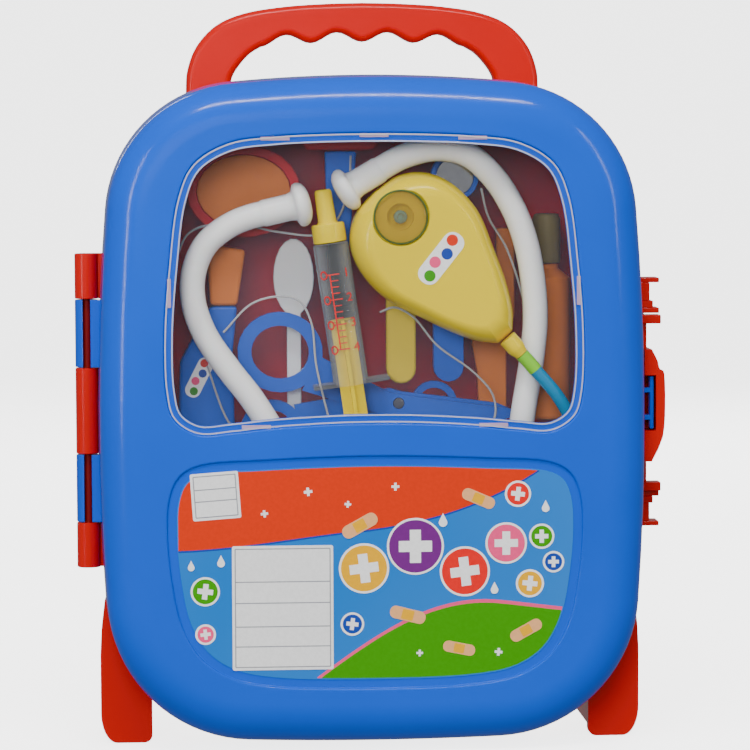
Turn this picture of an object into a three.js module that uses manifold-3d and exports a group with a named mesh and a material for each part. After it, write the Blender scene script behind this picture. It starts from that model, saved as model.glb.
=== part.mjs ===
// Toy doctor case: a wheeled plastic case with a clear window in its hinged cover and a set of
// toy instruments in a clear tray. Millimetres, +Z up, the cover faces -Y, +X is to its right.
import * as THREE from 'three';
import { mergeVertices } from 'three/addons/utils/BufferGeometryUtils.js';
import Module from 'manifold-3d';

const wasm = await Module();
wasm.setup();

// Shared fits
const seatGap = 0.3;
const faceGap = 0.1;
const runningGap = 0.5;
const cutOverrun = 6;
const weldDistance = 1e-4;

// Case outline, seen from the front
const caseHalfWidth = 115;
const caseHeight = 280;
const caseLift = 3;
const sideBowRadius = 1100;
const topBowRadius = 630;
const footBowRadius = 1500;
const topCornerRadius = 58;
const footCornerRadius = 62;
const widestDrop = 6;
const outlineStepCount = 2;
const cornerStepCount = 6;
const roundSideCount = 24;
const pinSideCount = 16;
const smallPinSideCount = 12;

// Case depth
const caseHalfDepth = 44;
const partPlane = -8;
const partGap = 0.5;

// Front cover
const coverWall = 2.6;
const coverDraft = 0.9;
const coverRimWidth = 17;
const coverRimDepth = 13;
const rimStepCount = 4;

// Window in the cover
const windowHalfWidth = 85;
const windowFoot = -6.3;
const windowHeight = 119.8;
const windowRecessMargin = 2.3;
const windowRecessDepth = 1.3;
const windowPanelWall = 0.8;
const windowLedge = 1.6;
const windowTabLength = 12;
const windowTabWidth = 1.6;
const windowTabDepth = 3.2;
const windowShares = [[0, 1], [0.24, 0.998], [0.48, 0.99], [0.7, 0.968], [0.86, 0.9],
  [0.93, 0.79], [0.975, 0.56], [1, 0.32], [0.992, 0.125], [0.96, 0.045], [0.86, 0],
  [0.7, 0.006], [0.5, 0.02], [0.2, 0.032], [0, 0.034]];
const topTabShares = [-0.48, 0, 0.48];
const footTabShares = [-0.58, 0.58];
const sideTabShare = 0.47;
const windowSideShare = 0.985;
const windowStepCount = 44;

// Label on the cover
const labelHalfWidth = 82.5;
const labelHeight = 89.5;
const labelTop = -22;
const labelMargin = 3.8;
const labelRecessDepth = 1.2;
const labelWall = 0.3;
const labelStepCount = 34;
const labelShares = [[0, 1], [0.3, 0.995], [0.56, 0.985], [0.867, 0.966], [0.95, 0.927],
  [0.99, 0.843], [1, 0.686], [0.98, 0.473], [0.933, 0.271], [0.848, 0.137], [0.715, 0.055],
  [0.52, 0.016], [0, 0]];
const stickerWall = 0.2;
const largeStickerWidth = 42;
const largeStickerHeight = 52;
const largeStickerShares = [-0.47, 0.34];
const smallStickerWidth = 20;
const smallStickerHeight = 19.6;
const smallStickerShares = [-0.805, 0.865];
const smallStickerTilt = 0.07;

// Rear shell
const rearInset = 1.2;
const rearWall = 2.4;
const rearRimWidth = 13;
const rearRimDepth = 13;

// Snap hinge at the left
const hingeOut = 4.4;
const hingeLevel = -0.9;
const knuckleRadius = 4.9;
const knuckleClearance = 0.45;
const middleKnuckleHalf = 18.1;
const clipLength = 28.6;
const endKnuckleLength = 19.4;
const knuckleEndGap = 0.4;
const hingePinRadius = 1.7;
const clipMouth = 3.3;
const pinFloorWall = 2;

// Buckle latch at the right
const latchPivotOut = 2.2;
const latchPivotY = 2;
const latchPlateWall = 3.1;
const latchHalfHeight = 34.2;
const latchCheekWall = 3.4;
const latchReach = 9.3;
const latchBowHalf = 23.8;
const latchBowWall = 4;
const latchBowFront = -22;
const latchBowStepCount = 10;
const latchWindowHigh = 12.8;
const latchWindowLow = -10.6;
const latchPlateFront = -6;
const latchPinRadius = 1.2;
const latchPinLength = 12;
const bracketHalfDepth = 5.5;
const bracketReachShares = [0.89, 0.68, 0.53, 0.96];
const bracketWalls = [2.3, 3, 7.8, 2];
const catchOut = 4.6;
const catchWall = 1.7;
const catchFront = -20.4;
const catchDepth = 6;
const catchRibWall = 2;
const catchGap = 0.6;
const catchRibShares = [0.22, 0.74];

// Wheels and their fenders
const wheelRadius = 20;
const wheelWidth = 13;
const wheelY = 19;
const wheelRimRadius = 13;
const wheelDish = 2.5;
const axleRadius = 2;
const fenderWall = 2.2;
const fenderClearance = 2.2;
const fenderWidth = 21.8;
const fenderTop = 68;
const fenderSkirt = 5;
const fenderInnerRound = 3.5;
const fenderOuterRound = 7;
const fenderOuterRise = 13;
const fenderRoundStepCount = 4;
const footDepth = 4.2;
const fenderArcStepCount = 9;

// Rear panel over the handle rails
const panelWall = 2.4;
const panelHalfWidth = 84;
const panelFoot = -86;
const panelTop = 118;
const panelCornerRadius = 14;
const railWall = 2.4;
const screwBossRadius = 4;
const screwHeadRadius = 3.2;
const screwHeadHeight = 1.8;
const screwRadius = 1.4;
const screwReach = 6;
const pilotFloorWall = 1;
const screwSlotShares = [0.125, 0.6];
const screwShares = [[-0.5, 0.14], [0.5, 0.14], [-0.5, 0.86], [0.5, 0.86]];

// Pull handle
const handleHalfWidth = 76.3;
const handleLegWidth = 19.3;
const handleTop = 171.3;
const handleShoulder = 134;
const handleWall = 10.4;
const handleRoom = 3.2;
const handleFoot = -30;
const handleLug = 3.2;
const handleLugHeight = 14;
const handleTravel = 130;
const gripUnderside = 154.5;
const gripScallop = 2.1;
const gripScallopCount = 4;
const gripScallopPitch = 22;
const gripScallopStepCount = 3;
const gripShares = [[1, 0], [0.992, 0.22], [0.94, 0.5], [0.83, 0.74], [0.68, 0.875],
  [0.45, 0.955], [0.2, 0.99], [0, 1]];
const gripInnerShares = [[0, 0.1], [0.02, 0.28], [0.1, 0.52], [0.22, 0.76], [0.34, 0.9]];

// Clear tray between the two layers of instruments
const trayWall = 1;
const trayFlangeY = -4;
const trayFlangeWidth = 6;
const frontRoom = 29.5;
const traySlope = 6;
const trayEdgeGap = 0.8;
const ledgeWall = 2.4;
const ledgeDepth = 5;
const ledgeLength = 24;
const ledgeLevelShares = [-0.4, 0.4];

// Stethoscope
const armRadius = 5.3;
const earTipRadius = 9.4;
const earTipWall = 7.4;
const earSleeveRadius = 5.7;
const earSleeveLength = 12.4;
const earTipShares = [[0.82, 0.12], [1, 0.32], [0.96, 0.6], [0.6, 0.93], [0, 1]];
const yokeTop = -76;
const yokeHeight = 24;
const yokeWidth = 36;
const yokeNeck = 12;
const yokeWall = 16.5;
const armSpread = 10;
const yokeShoulderShare = 0.3;
const yokePlaceShare = 0.122;
const hoseRadius = 2.75;
const hoseSideCount = 8;
const hoseStepCount = 36;
const chestLength = 82;
const chestWidth = 54.5;
const chestWindowGap = 4.5;
const chestBackWall = 6;
const chestRound = 4.4;
const chestTilt = -0.84;
const lensRadius = 11.4;
const lensWall = 1.6;
const lampRadius = 2.8;
const lampLength = 3.4;
const spigotRadius = 3.9;
const spigotLength = 9;
const armSideCount = 8;
const armStepCount = 28;
const armShares = {
  left: [[-0.388, 0.588], [-0.44, 0.578], [-0.515, 0.553], [-0.6, 0.498], [-0.645, 0.42],
    [-0.65, 0.33], [-0.608, 0.227], [-0.52, 0.12], [-0.437, 0.031], [-0.36, -0.075],
    [-0.3, -0.2], [-0.23, -0.33], [-0.12, -0.43]],
  right: [[0.024, 0.713], [0.075, 0.738], [0.125, 0.757], [0.233, 0.777], [0.345, 0.762],
    [0.435, 0.702], [0.508, 0.614], [0.56, 0.507], [0.588, 0.39], [0.598, 0.27],
    [0.586, 0.154], [0.56, 0.02], [0.53, -0.12], [0.47, -0.25], [0.38, -0.36],
    [0.28, -0.43]],
};
const chestShares = [[0.5, 0], [0.48, 0.22], [0.4, 0.39], [0.28, 0.48], [0.09, 0.495],
  [-0.12, 0.39], [-0.3, 0.28], [-0.42, 0.18], [-0.48, 0.1], [-0.5, 0.07]];
const chestPlaceShares = [0.249, 0.431];
const lensShares = [0.326, -0.013];
const chestStepCount = 12;
const chestFrontShares = [[0, 0.45], [0.15, 0.75], [0.5, 0.92], [1, 1]];
const chestBackShares = [[0.6, 0], [0.15, 0.4]];
const lensSideCount = 28;
const lensProudShare = 0.4;
const spigotDropShare = 0.27;
const spigotTipShare = 0.7;
const spigotSideCount = 18;
const hoseShares = [[0.591, 0.116], [0.664, 0.046], [0.714, -0.02], [0.755, -0.1], [0.785, -0.2],
  [0.785, -0.34], [0.74, -0.5], [0.65, -0.66], [0.52, -0.78], [0.38, -0.835], [0.25, -0.835],
  [0.16, -0.8]];
const hoseDepthShares = [1, 1, 0.9, 0.66, 0.36, 0.12, 0, 0, 0, 0, 0.03, 0.14];

// Syringe
const barrelRadius = 7.4;
const barrelWall = 1.1;
const barrelLength = 60;
const flangeHalfWidth = 16;
const flangeWall = 1.8;
const capRadius = 7;
const capHeight = 8;
const capNozzleLength = 14.4;
const capNozzleRadius = 3.6;
const pistonLength = 10.5;
const pistonLevelShare = 0.44;
const plungerHalfWidth = 5;
const plungerRib = 1.6;
const plungerReach = 64;
const thumbRadius = 9;
const thumbWall = 2;
const syringeTilt = 0.142;
const syringePlaceShares = [-0.112, 0.285];
const nozzleRadius = 1.45;
const nozzleLength = 5.6;
const barrelSideCount = 26;
const capShares = [[1.2, 0], [1, 0.92], [0.8, 1]];
const pistonShares = [[0, -1], [1, -1], [1, -0.5], [0.88, -0.3], [0.88, 0.3], [1, 0.5],
  [1, 0.85], [0, 1]];
const thumbEdgeShare = 0.9;

// Instruments behind the tray
const toyWall = 6;
const toyGap = 1.8;
const toySideCount = 22;
const postRadius = 3;
const postSideCount = 6;

// Goggles
const gogglePlaceShares = [-0.461, 0.652];
const goggleHalf = [24, 19.5];
const goggleBand = 4;
const goggleLip = 2.4;
const goggleLensFront = 1.2;
const goggleLensBack = 3.6;

// Otoscope
const otoscopeWall = 12;
const otoscopeSplitShare = 0.306;
const otoscopeShares = [[-0.62, -0.36], [-0.49, -0.36], [-0.497, -0.06], [-0.505, 0.17],
  [-0.487, otoscopeSplitShare], [-0.587, otoscopeSplitShare], [-0.698, 0.14], [-0.705, -0.05]];
const otoscopeHeadShares = [[-0.587, otoscopeSplitShare], [-0.487, otoscopeSplitShare],
  [-0.455, 0.475], [-0.6, 0.495]];

// Scissors
const scissorTurn = -0.1;
const scissorPlaceShares = [0.104, 0.009];
const scissorWall = 3.2;
const scissorRing = [-52, 17];
const scissorLoops = { front: [18, 17, 5.8], back: [13.5, 13.5, 4.6] };
const scissorSideCount = 26;
const bladeLength = 52;
const bladeHalf = 4.2;
const shankShares = [[-1, -1.4], [1, -1], [1, 0.8], [-1, 1]];
const bladeRootShares = [-1.2, 0.9];
const bladeTipShares = [[0.8, -0.9], [1, -0.1], [0.9, 0.5]];
const loopRootShares = [0.6, -0.9, 0.3];
const rivetRadius = 2.2;
const rivetHeadRadius = 3.8;
const rivetHeadWall = 1.2;

// Spoon, hammer, thermometer, mirror, probe, forceps and bottle
const spoonPlaceShares = [-0.277, 0.39];
const spoonHalf = [8.6, 16.4];
const spoonStem = 3;
const spoonStemLength = 86.8;
const spoonWall = 3.4;
const hammerShares = [[-0.145, 0.325], [-0.096, 0.325], [-0.066, 0.57], [-0.048, 0.77],
  [-0.164, 0.77], [-0.156, 0.57]];
const hammerHeadPlaceShares = [-0.106, 0.77];
const hammerHeadHalf = 16;
const hammerHeadHeight = 13;
const hammerHeadRound = 3.9;
const hammerHeadWall = 11;
const tipStepCount = 8;
const thermometerFootShares = [0.114, 0.068];
const thermometerTopShare = 0.6;
const thermometerHalf = 6.3;
const mirrorFootShares = [0.289, 0.073];
const mirrorPlaceShares = [0.313, 0.692];
const mirrorHalf = 6.4;
const mirrorRadius = 10.2;
const mirrorSeatRadius = 8.2;
const mirrorGlassWall = 1.2;
const probePlaceShares = [0.24, 0.001];
const probeRadius = 10;
const probeBand = 3;
const probeStem = 3.4;
const probeStemLength = 70;
const forcepsShares = [[0.435, -0.42], [0.51, -0.42], [0.51, 0.19], [0.54, 0.27],
  [0.54, 0.535], [0.472, 0.535], [0.472, 0.27], [0.38, 0.19], [0.4, 0.1]];
const bottlePlaceShares = [0.66, 0.19];
const bottleRadius = 10;
const bottleHeight = 66;
const bottleShares = [[0.9, 0], [1, 0.03], [1, 0.91], [0.5, 0.97], [0.5, 1]];
const bottleCapRadius = 6;
const bottleCapHeight = 21;
const bottleCapShares = [[1, 0], [1, 0.9], [0.8, 1]];

// Posts on the rear wall, by the instruments that they hold against the tray
const postShares = {
  flat: [[-0.63, 0.7], [-0.32, 0.72], [-0.12, 0.45], [-0.12, 0.7], [0.114, 0.2],
    [0.114, 0.5], [0.29, 0.2], [0.313, 0.66]],
  otoscope: [[-0.6, 0.05], [-0.55, -0.28], [-0.53, 0.4]],
  thin: [[-0.277, 0.42], [-0.277, -0.16], [0.24, -0.2], [0.24, -0.4]],
  forceps: [[0.47, -0.3], [0.505, 0.42]],
  bottle: [[0.66, 0.05], [0.66, 0.36]],
};

const caseHalfHeight = caseHeight / 2;
const floorLevel = -caseHalfHeight - caseLift;

// Materials
const plastic = (color, roughness = 0.35) =>
  new THREE.MeshStandardMaterial({ color, roughness, metalness: 0 });
const clearPlastic = (color, opacity) => new THREE.MeshStandardMaterial({
  color, roughness: 0.08, metalness: 0, transparent: true, opacity,
});
const steel = () => new THREE.MeshStandardMaterial({
  color: 0xb9bcc0, roughness: 0.35, metalness: 1,
});
const caseBlue = 0x0a6fe8;
const caseRed = 0xf2230f;
const toyYellow = 0xf6df12;
const toyWhite = 0xf4f4f2;
const toyBlue = 0x1b7fd0;
const toyAmber = 0xd98a1c;

// Solids from geometry, and geometry from solids
function solidOf(geometry) {
  geometry.deleteAttribute('normal');
  geometry.deleteAttribute('uv');
  const merged = mergeVertices(geometry, weldDistance);
  return new wasm.Manifold(new wasm.Mesh({
    numProp: 3,
    vertProperties: new Float32Array(merged.attributes.position.array),
    triVerts: new Uint32Array(merged.index.array),
  }));
}

function geometryOf(solid) {
  const { vertProperties, triVerts } = solid.getMesh();
  const geometry = new THREE.BufferGeometry();
  geometry.setAttribute('position', new THREE.BufferAttribute(vertProperties, 3));
  geometry.setIndex(new THREE.BufferAttribute(triVerts, 1));
  geometry.computeVertexNormals();
  return geometry;
}

const joined = (...solids) => solids.reduce((whole, next) => whole.add(next));
const without = (solid, ...cuts) => cuts.reduce((left, cut) => left.subtract(cut), solid);

// Boxes, prisms and turned shapes along the case's axes
function box([x0, x1], [y0, y1], [z0, z1]) {
  const geometry = new THREE.BoxGeometry(x1 - x0, y1 - y0, z1 - z0);
  geometry.translate((x0 + x1) / 2, (y0 + y1) / 2, (z0 + z1) / 2);
  return solidOf(geometry);
}

const alongX = new THREE.Matrix4().makeBasis(
  new THREE.Vector3(0, 1, 0), new THREE.Vector3(0, 0, 1), new THREE.Vector3(1, 0, 0));
const alongY = new THREE.Matrix4().makeBasis(
  new THREE.Vector3(1, 0, 0), new THREE.Vector3(0, 0, 1), new THREE.Vector3(0, -1, 0));

function prism(points, low, high, axis) {
  const shape = new THREE.Shape(points.map(([u, v]) => new THREE.Vector2(u, v)));
  const geometry = new THREE.ExtrudeGeometry(shape, { depth: high - low, bevelEnabled: false });
  geometry.applyMatrix4(axis);
  geometry.translate(...(axis === alongX ? [low, 0, 0] : [0, high, 0]));
  return solidOf(geometry);
}

const prismX = (points, low, high) => prism(points, low, high, alongX);
const prismY = (points, low, high) => prism(points, low, high, alongY);

// A turned shape: profile points are [radius, distance along the axis]
function turned(profile, sides = roundSideCount) {
  const points = profile.map(([radius, along]) => new THREE.Vector2(radius, along));
  return new THREE.LatheGeometry(points, sides);
}

function rod(radius, low, high, [a, b], axis, sides = pinSideCount) {
  const geometry = turned([[0, low], [radius, low], [radius, high], [0, high]], sides);
  if (axis === 'x') geometry.rotateZ(-Math.PI / 2).translate(0, a, b);
  if (axis === 'y') geometry.translate(a, 0, b);
  if (axis === 'z') geometry.rotateX(Math.PI / 2).translate(a, b, 0);
  return solidOf(geometry);
}

// Outlines as lists of [u, v]
function arc([cu, cv], radius, from, to, steps) {
  const points = [];
  for (let i = 0; i < steps; i += 1) {
    const angle = from + (to - from) * i / steps;
    points.push([cu + radius * Math.cos(angle), cv + radius * Math.sin(angle)]);
  }
  return points;
}

// The right-hand crossing of two circles, nearest to the wanted height
function circleMeet(a, radiusA, b, radiusB, upper) {
  const du = b[0] - a[0];
  const dv = b[1] - a[1];
  const gap = Math.hypot(du, dv);
  const along = (radiusA ** 2 - radiusB ** 2 + gap ** 2) / (2 * gap);
  const off = Math.sqrt(radiusA ** 2 - along ** 2);
  const crossings = [-1, 1].map((side) => [
    a[0] + (du * along - side * dv * off) / gap,
    a[1] + (dv * along + side * du * off) / gap,
  ]);
  crossings.sort((p, q) => (upper ? q[1] - p[1] : p[1] - q[1]));
  return crossings[0];
}

const angleTo = (from, to) => Math.atan2(to[1] - from[1], to[0] - from[0]);
const mirrored = (points) => points.map(([u, v]) => [-u, v]).reverse();

// Squarish outline with slightly bowed sides; inset moves every arc inwards
function caseOutline(inset) {
  const side = [caseHalfWidth - sideBowRadius, -widestDrop];
  const top = [0, caseHalfHeight - topBowRadius];
  const foot = [0, footBowRadius - caseHalfHeight];
  const topCorner = circleMeet(
    side, sideBowRadius - topCornerRadius, top, topBowRadius - topCornerRadius, true);
  const footCorner = circleMeet(
    side, sideBowRadius - footCornerRadius, foot, footBowRadius - footCornerRadius, false);
  const turns = [-Math.PI / 2, angleTo(foot, footCorner), angleTo(side, footCorner),
    angleTo(side, topCorner), angleTo(top, topCorner), Math.PI / 2];
  const half = [
    ...arc(foot, footBowRadius - inset, turns[0], turns[1], outlineStepCount),
    ...arc(footCorner, footCornerRadius - inset, turns[1], turns[2], cornerStepCount),
    ...arc(side, sideBowRadius - inset, turns[2], turns[3], outlineStepCount + 1),
    ...arc(topCorner, topCornerRadius - inset, turns[3], turns[4], cornerStepCount),
    ...arc(top, topBowRadius - inset, turns[4], turns[5], outlineStepCount),
  ];
  const crown = [0, caseHalfHeight - inset];
  return [...half, crown, ...mirrored(half.slice(1))];
}

// A smooth closed outline through half a set of shares, mirrored left to right
function smoothOutline(shares, halfWidth, height, foot, steps) {
  const half = shares.map(([u, v]) => [u * halfWidth, foot + v * height]);
  const whole = [...half, ...mirrored(half.slice(1, -1))];
  const curve = new THREE.CatmullRomCurve3(
    whole.map(([u, v]) => new THREE.Vector3(u, v, 0)), true, 'centripetal');
  const points = curve.getPoints(steps).slice(0, -1).map(({ x, y }) => [x, y]);
  return points.reverse();
}

// Moves each point of a counter-clockwise outline outwards along its own normal
function offsetOutline(points, distance) {
  return points.map(([u, v], i) => {
    const before = points[(i + points.length - 1) % points.length];
    const after = points[(i + 1) % points.length];
    const du = after[0] - before[0];
    const dv = after[1] - before[1];
    const length = Math.hypot(du, dv);
    return [u + dv / length * distance, v - du / length * distance];
  });
}

function roundedRectangle(halfU, [low, high], radius, steps = 4) {
  const corner = (u, v, turn) => arc([u, v], radius, turn, turn + Math.PI / 2, steps + 1);
  return [
    ...corner(halfU - radius, low + radius, -Math.PI / 2),
    ...corner(halfU - radius, high - radius, 0),
    ...corner(radius - halfU, high - radius, Math.PI / 2),
    ...corner(radius - halfU, low + radius, Math.PI),
  ];
}

// A closed skin through rings of equal count, each [outline, y], with fan caps
function lofted(rings, [cu, cv] = [0, 0]) {
  const count = rings[0][0].length;
  const positions = [];
  for (const [outline, y] of rings) {
    for (const [u, v] of outline) positions.push(u, y, v);
  }
  const hubs = [0, rings.length - 1].map((k) => {
    positions.push(cu, rings[k][1], cv);
    return positions.length / 3 - 1;
  });
  const index = [];
  const backwards = rings[rings.length - 1][1] > rings[0][1];
  const face = (a, b, c) => index.push(...(backwards ? [a, c, b] : [a, b, c]));
  for (let i = 0; i < count; i += 1) {
    const j = (i + 1) % count;
    for (let k = 0; k + 1 < rings.length; k += 1) {
      const near = k * count;
      const far = near + count;
      face(near + i, near + j, far + j);
      face(near + i, far + j, far + i);
    }
    face(hubs[0], j, i);
    face(hubs[1], (rings.length - 1) * count + i, (rings.length - 1) * count + j);
  }
  const geometry = new THREE.BufferGeometry();
  geometry.setAttribute('position', new THREE.Float32BufferAttribute(positions, 3));
  geometry.setIndex(index);
  return solidOf(geometry);
}

// Half of the case: a tub with a rounded rim at its closed end
function tubRings(inset, openY, closedY, rimWidth, rimDepth) {
  const inwards = Math.sign(openY - closedY);
  const rings = [[caseOutline(inset), openY]];
  for (let i = 0; i <= rimStepCount; i += 1) {
    const turn = i / rimStepCount * Math.PI / 2;
    rings.push([
      caseOutline(inset + coverDraft + rimWidth * (1 - Math.cos(turn))),
      closedY + inwards * rimDepth * (1 - Math.sin(turn)),
    ]);
  }
  return rings;
}

const coverFront = -caseHalfDepth;
const coverBack = partPlane - partGap / 2;
const rearFront = partPlane + partGap / 2;
const rearBack = caseHalfDepth - panelWall - handleWall - handleRoom;
const windowFront = coverFront + windowRecessDepth - faceGap - windowPanelWall;
const windowBack = windowFront + windowPanelWall;
const hingeX = -caseHalfWidth - hingeOut;
const latchX = caseHalfWidth + latchPivotOut;

// Hinge levels, from the foot up: end, clip, middle, clip, end
const clipInner = middleKnuckleHalf + knuckleEndGap / 2;
const clipOuter = clipInner + clipLength;
const knuckleSpans = [
  [-clipOuter - endKnuckleLength, -clipOuter - knuckleEndGap],
  [-middleKnuckleHalf, middleKnuckleHalf],
  [clipOuter + knuckleEndGap, clipOuter + endKnuckleLength],
].map((span) => span.map((z) => z + hingeLevel));
const clipSpans = [[-clipOuter, -clipInner - knuckleEndGap / 2],
  [clipInner + knuckleEndGap / 2, clipOuter]].map((span) => span.map((z) => z + hingeLevel));

const grow = ([low, high], margin) => [low - margin, high + margin];

const windowOutline = smoothOutline(
  windowShares, windowHalfWidth, windowHeight, windowFoot, windowStepCount);
const labelOutline = smoothOutline(
  labelShares, labelHalfWidth, labelHeight, labelTop - labelHeight, labelStepCount);

// The window's snap tabs: [x, z, half length in x, half length in z]
function windowTabs() {
  const along = windowTabLength / 2;
  const across = windowTabWidth / 2;
  const margin = windowRecessMargin / 2;
  const tabs = [];
  const levelAt = (x, upper) => {
    const levels = windowOutline.filter(([u]) => Math.abs(u - x) < windowTabLength)
      .map(([, v]) => v).filter((v) => (v > windowFoot + windowHeight / 2) === upper);
    return levels.reduce((sum, v) => sum + v, 0) / levels.length;
  };
  for (const share of topTabShares) {
    const x = share * windowHalfWidth;
    tabs.push([x, levelAt(x, true) + margin, along, across]);
  }
  for (const share of footTabShares) {
    const x = share * windowHalfWidth;
    tabs.push([x, levelAt(x, false) - margin, along, across]);
  }
  for (const side of [-1, 1]) {
    const z = windowFoot + sideTabShare * windowHeight;
    tabs.push([side * (windowHalfWidth * windowSideShare + margin), z, across, along]);
  }
  return tabs;
}

function coverClip([low, high]) {
  const middle = partPlane;
  const ring = rod(knuckleRadius, low, high, [hingeX, middle], 'z');
  const arm = box([hingeX, -caseHalfWidth + 2 * coverWall],
    [middle - knuckleRadius, coverBack], [low, high]);
  const pinRoom = rod(hingePinRadius + seatGap, low - cutOverrun, high + cutOverrun,
    [hingeX, middle], 'z');
  const mouth = box([hingeX - clipMouth / 2, hingeX + clipMouth / 2],
    [middle - cutOverrun, middle], [low - cutOverrun, high + cutOverrun]);
  return without(joined(ring, arm), pinRoom, mouth);
}

function coverCatch() {
  const outer = caseHalfWidth + catchOut;
  const high = latchWindowHigh - catchGap;
  const low = latchWindowLow + catchGap;
  const depth = [catchFront, catchFront + catchDepth];
  const plate = box([outer - catchWall, outer], depth, [low, high]);
  const ribs = catchRibShares.map((share) => {
    const level = low + share * (high - low);
    return box([caseHalfWidth - 2 * coverWall, outer - catchWall / 2], depth,
      [level - catchRibWall / 2, level + catchRibWall / 2]);
  });
  return joined(plate, ...ribs);
}

function frontCover() {
  const outer = lofted(tubRings(0, coverBack, coverFront, coverRimWidth, coverRimDepth));
  const inner = lofted([
    [caseOutline(coverWall), coverBack + cutOverrun],
    ...tubRings(coverWall, coverBack, coverFront + coverWall, coverRimWidth, coverRimDepth)
      .slice(1),
  ]);
  const opening = prismY(offsetOutline(windowOutline, -windowLedge),
    coverFront - cutOverrun, coverFront + cutOverrun);
  const windowRecess = prismY(offsetOutline(windowOutline, windowRecessMargin),
    coverFront - cutOverrun, coverFront + windowRecessDepth);
  const labelRecess = prismY(offsetOutline(labelOutline, labelMargin),
    coverFront - cutOverrun, coverFront + labelRecessDepth);
  const slots = windowTabs().map(([x, z, halfX, halfZ]) => box(
    [x - halfX - seatGap, x + halfX + seatGap], [coverFront, coverFront + cutOverrun],
    [z - halfZ - seatGap, z + halfZ + seatGap]));
  const reliefs = knuckleSpans.map((span) => rod(knuckleRadius + knuckleClearance,
    ...grow(span, knuckleEndGap / 2), [hingeX, partPlane], 'z'));
  const block = joined(outer, ...clipSpans.map(coverClip), coverCatch());
  return without(block, inner, opening, windowRecess, labelRecess, ...slots, ...reliefs);
}

function windowPanel() {
  const plate = prismY(offsetOutline(windowOutline, windowRecessMargin - seatGap),
    windowFront, windowBack);
  const tabs = windowTabs().map(([x, z, halfX, halfZ]) => box(
    [x - halfX, x + halfX], [windowFront, windowBack + windowTabDepth],
    [z - halfZ, z + halfZ]));
  return joined(plate, ...tabs);
}

const labelSeat = coverFront + labelRecessDepth;
const labelSheet = () => prismY(labelOutline, labelSeat - labelWall, labelSeat);

function sticker(width, height, [xShare, zShare], tilt) {
  const x = xShare * labelHalfWidth;
  const z = labelTop - labelHeight * (1 - zShare);
  const back = labelSeat - labelWall;
  const corners = [[-1, -1], [1, -1], [1, 1], [-1, 1]].map(([su, sv]) => {
    const u = su * width / 2;
    const v = sv * height / 2;
    return [x + u * Math.cos(tilt) - v * Math.sin(tilt),
      z + u * Math.sin(tilt) + v * Math.cos(tilt)];
  });
  return prismY(corners, back - stickerWall, back);
}

// Fender block and wheel well, drawn in [y, z] and drawn out along X
function fenderOutline() {
  const hub = floorLevel + wheelRadius;
  const radius = wheelRadius + fenderClearance + fenderWall;
  const skirt = floorLevel + fenderSkirt;
  const from = Math.asin((skirt - hub) / radius);
  return [
    [rearFront, floorLevel],
    [rearFront + footDepth, floorLevel],
    [rearFront + footDepth, skirt],
    ...arc([wheelY, hub], radius, from, Math.PI / 2, fenderArcStepCount),
    [wheelY, hub + radius],
    [rearFront, floorLevel + fenderTop],
  ];
}

// A fender from the front: both foot corners are round, the outer one more so
function fenderFace(side) {
  const inner = caseHalfWidth - fenderWidth;
  const top = floorLevel + fenderTop + fenderWall;
  const outerArc = arc([0, 0], 1, -Math.PI / 2, 0, fenderRoundStepCount).map(([u, v]) => [
    caseHalfWidth + (u - 1) * fenderOuterRound, floorLevel + (v + 1) * fenderOuterRise]);
  const face = [
    ...arc([inner + fenderInnerRound, floorLevel + fenderInnerRound], fenderInnerRound,
      -Math.PI, -Math.PI / 2, fenderRoundStepCount),
    [inner + fenderInnerRound, floorLevel],
    ...outerArc,
    [caseHalfWidth, floorLevel + fenderOuterRise], [caseHalfWidth, top], [inner, top],
  ];
  return side > 0 ? face : face.map(([u, v]) => [-u, v]).reverse();
}

const fender = (side) => prismX(fenderOutline(), ...fenderSpan(side)).intersect(
  prismY(fenderFace(side), rearFront - cutOverrun, caseHalfDepth + cutOverrun));

const fenderSpan = (side) => [side * (caseHalfWidth - fenderWidth), side * caseHalfWidth]
  .sort((a, b) => a - b);

function wheelWell(side) {
  const [low, high] = grow(fenderSpan(side), -fenderWall);
  const hub = floorLevel + wheelRadius;
  const radius = wheelRadius + fenderClearance;
  return joined(
    rod(radius, low, high, [wheelY, hub], 'x', roundSideCount),
    box([low, high], [wheelY - radius, wheelY + radius], [floorLevel - cutOverrun, hub]),
  );
}

const axleBore = (side) => rod(axleRadius + seatGap, ...grow(fenderSpan(side), cutOverrun),
  [wheelY, floorLevel + wheelRadius], 'x');

// Latch brackets: stacked blocks above and below the latch, outwards from the middle
function latchBracket(side) {
  const blocks = [];
  let level = latchHalfHeight + latchCheekWall + runningGap;
  bracketWalls.forEach((wall, i) => {
    const reach = caseHalfWidth + bracketReachShares[i] * latchReach;
    const span = [side * level, side * (level + wall)].sort((a, b) => a - b);
    blocks.push(box([caseHalfWidth - rearInset - 2 * rearWall, reach],
      [latchPivotY - bracketHalfDepth, latchPivotY + bracketHalfDepth], span));
    level += wall;
  });
  return joined(...blocks);
}

const latchPinSpan = (side) => {
  const start = latchHalfHeight + seatGap;
  return [side * start, side * (start + latchPinLength)].sort((a, b) => a - b);
};

const screwPlaces = () => screwShares.map(([xShare, zShare]) => [
  xShare * panelHalfWidth, panelFoot + zShare * (panelTop - panelFoot)]);

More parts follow.
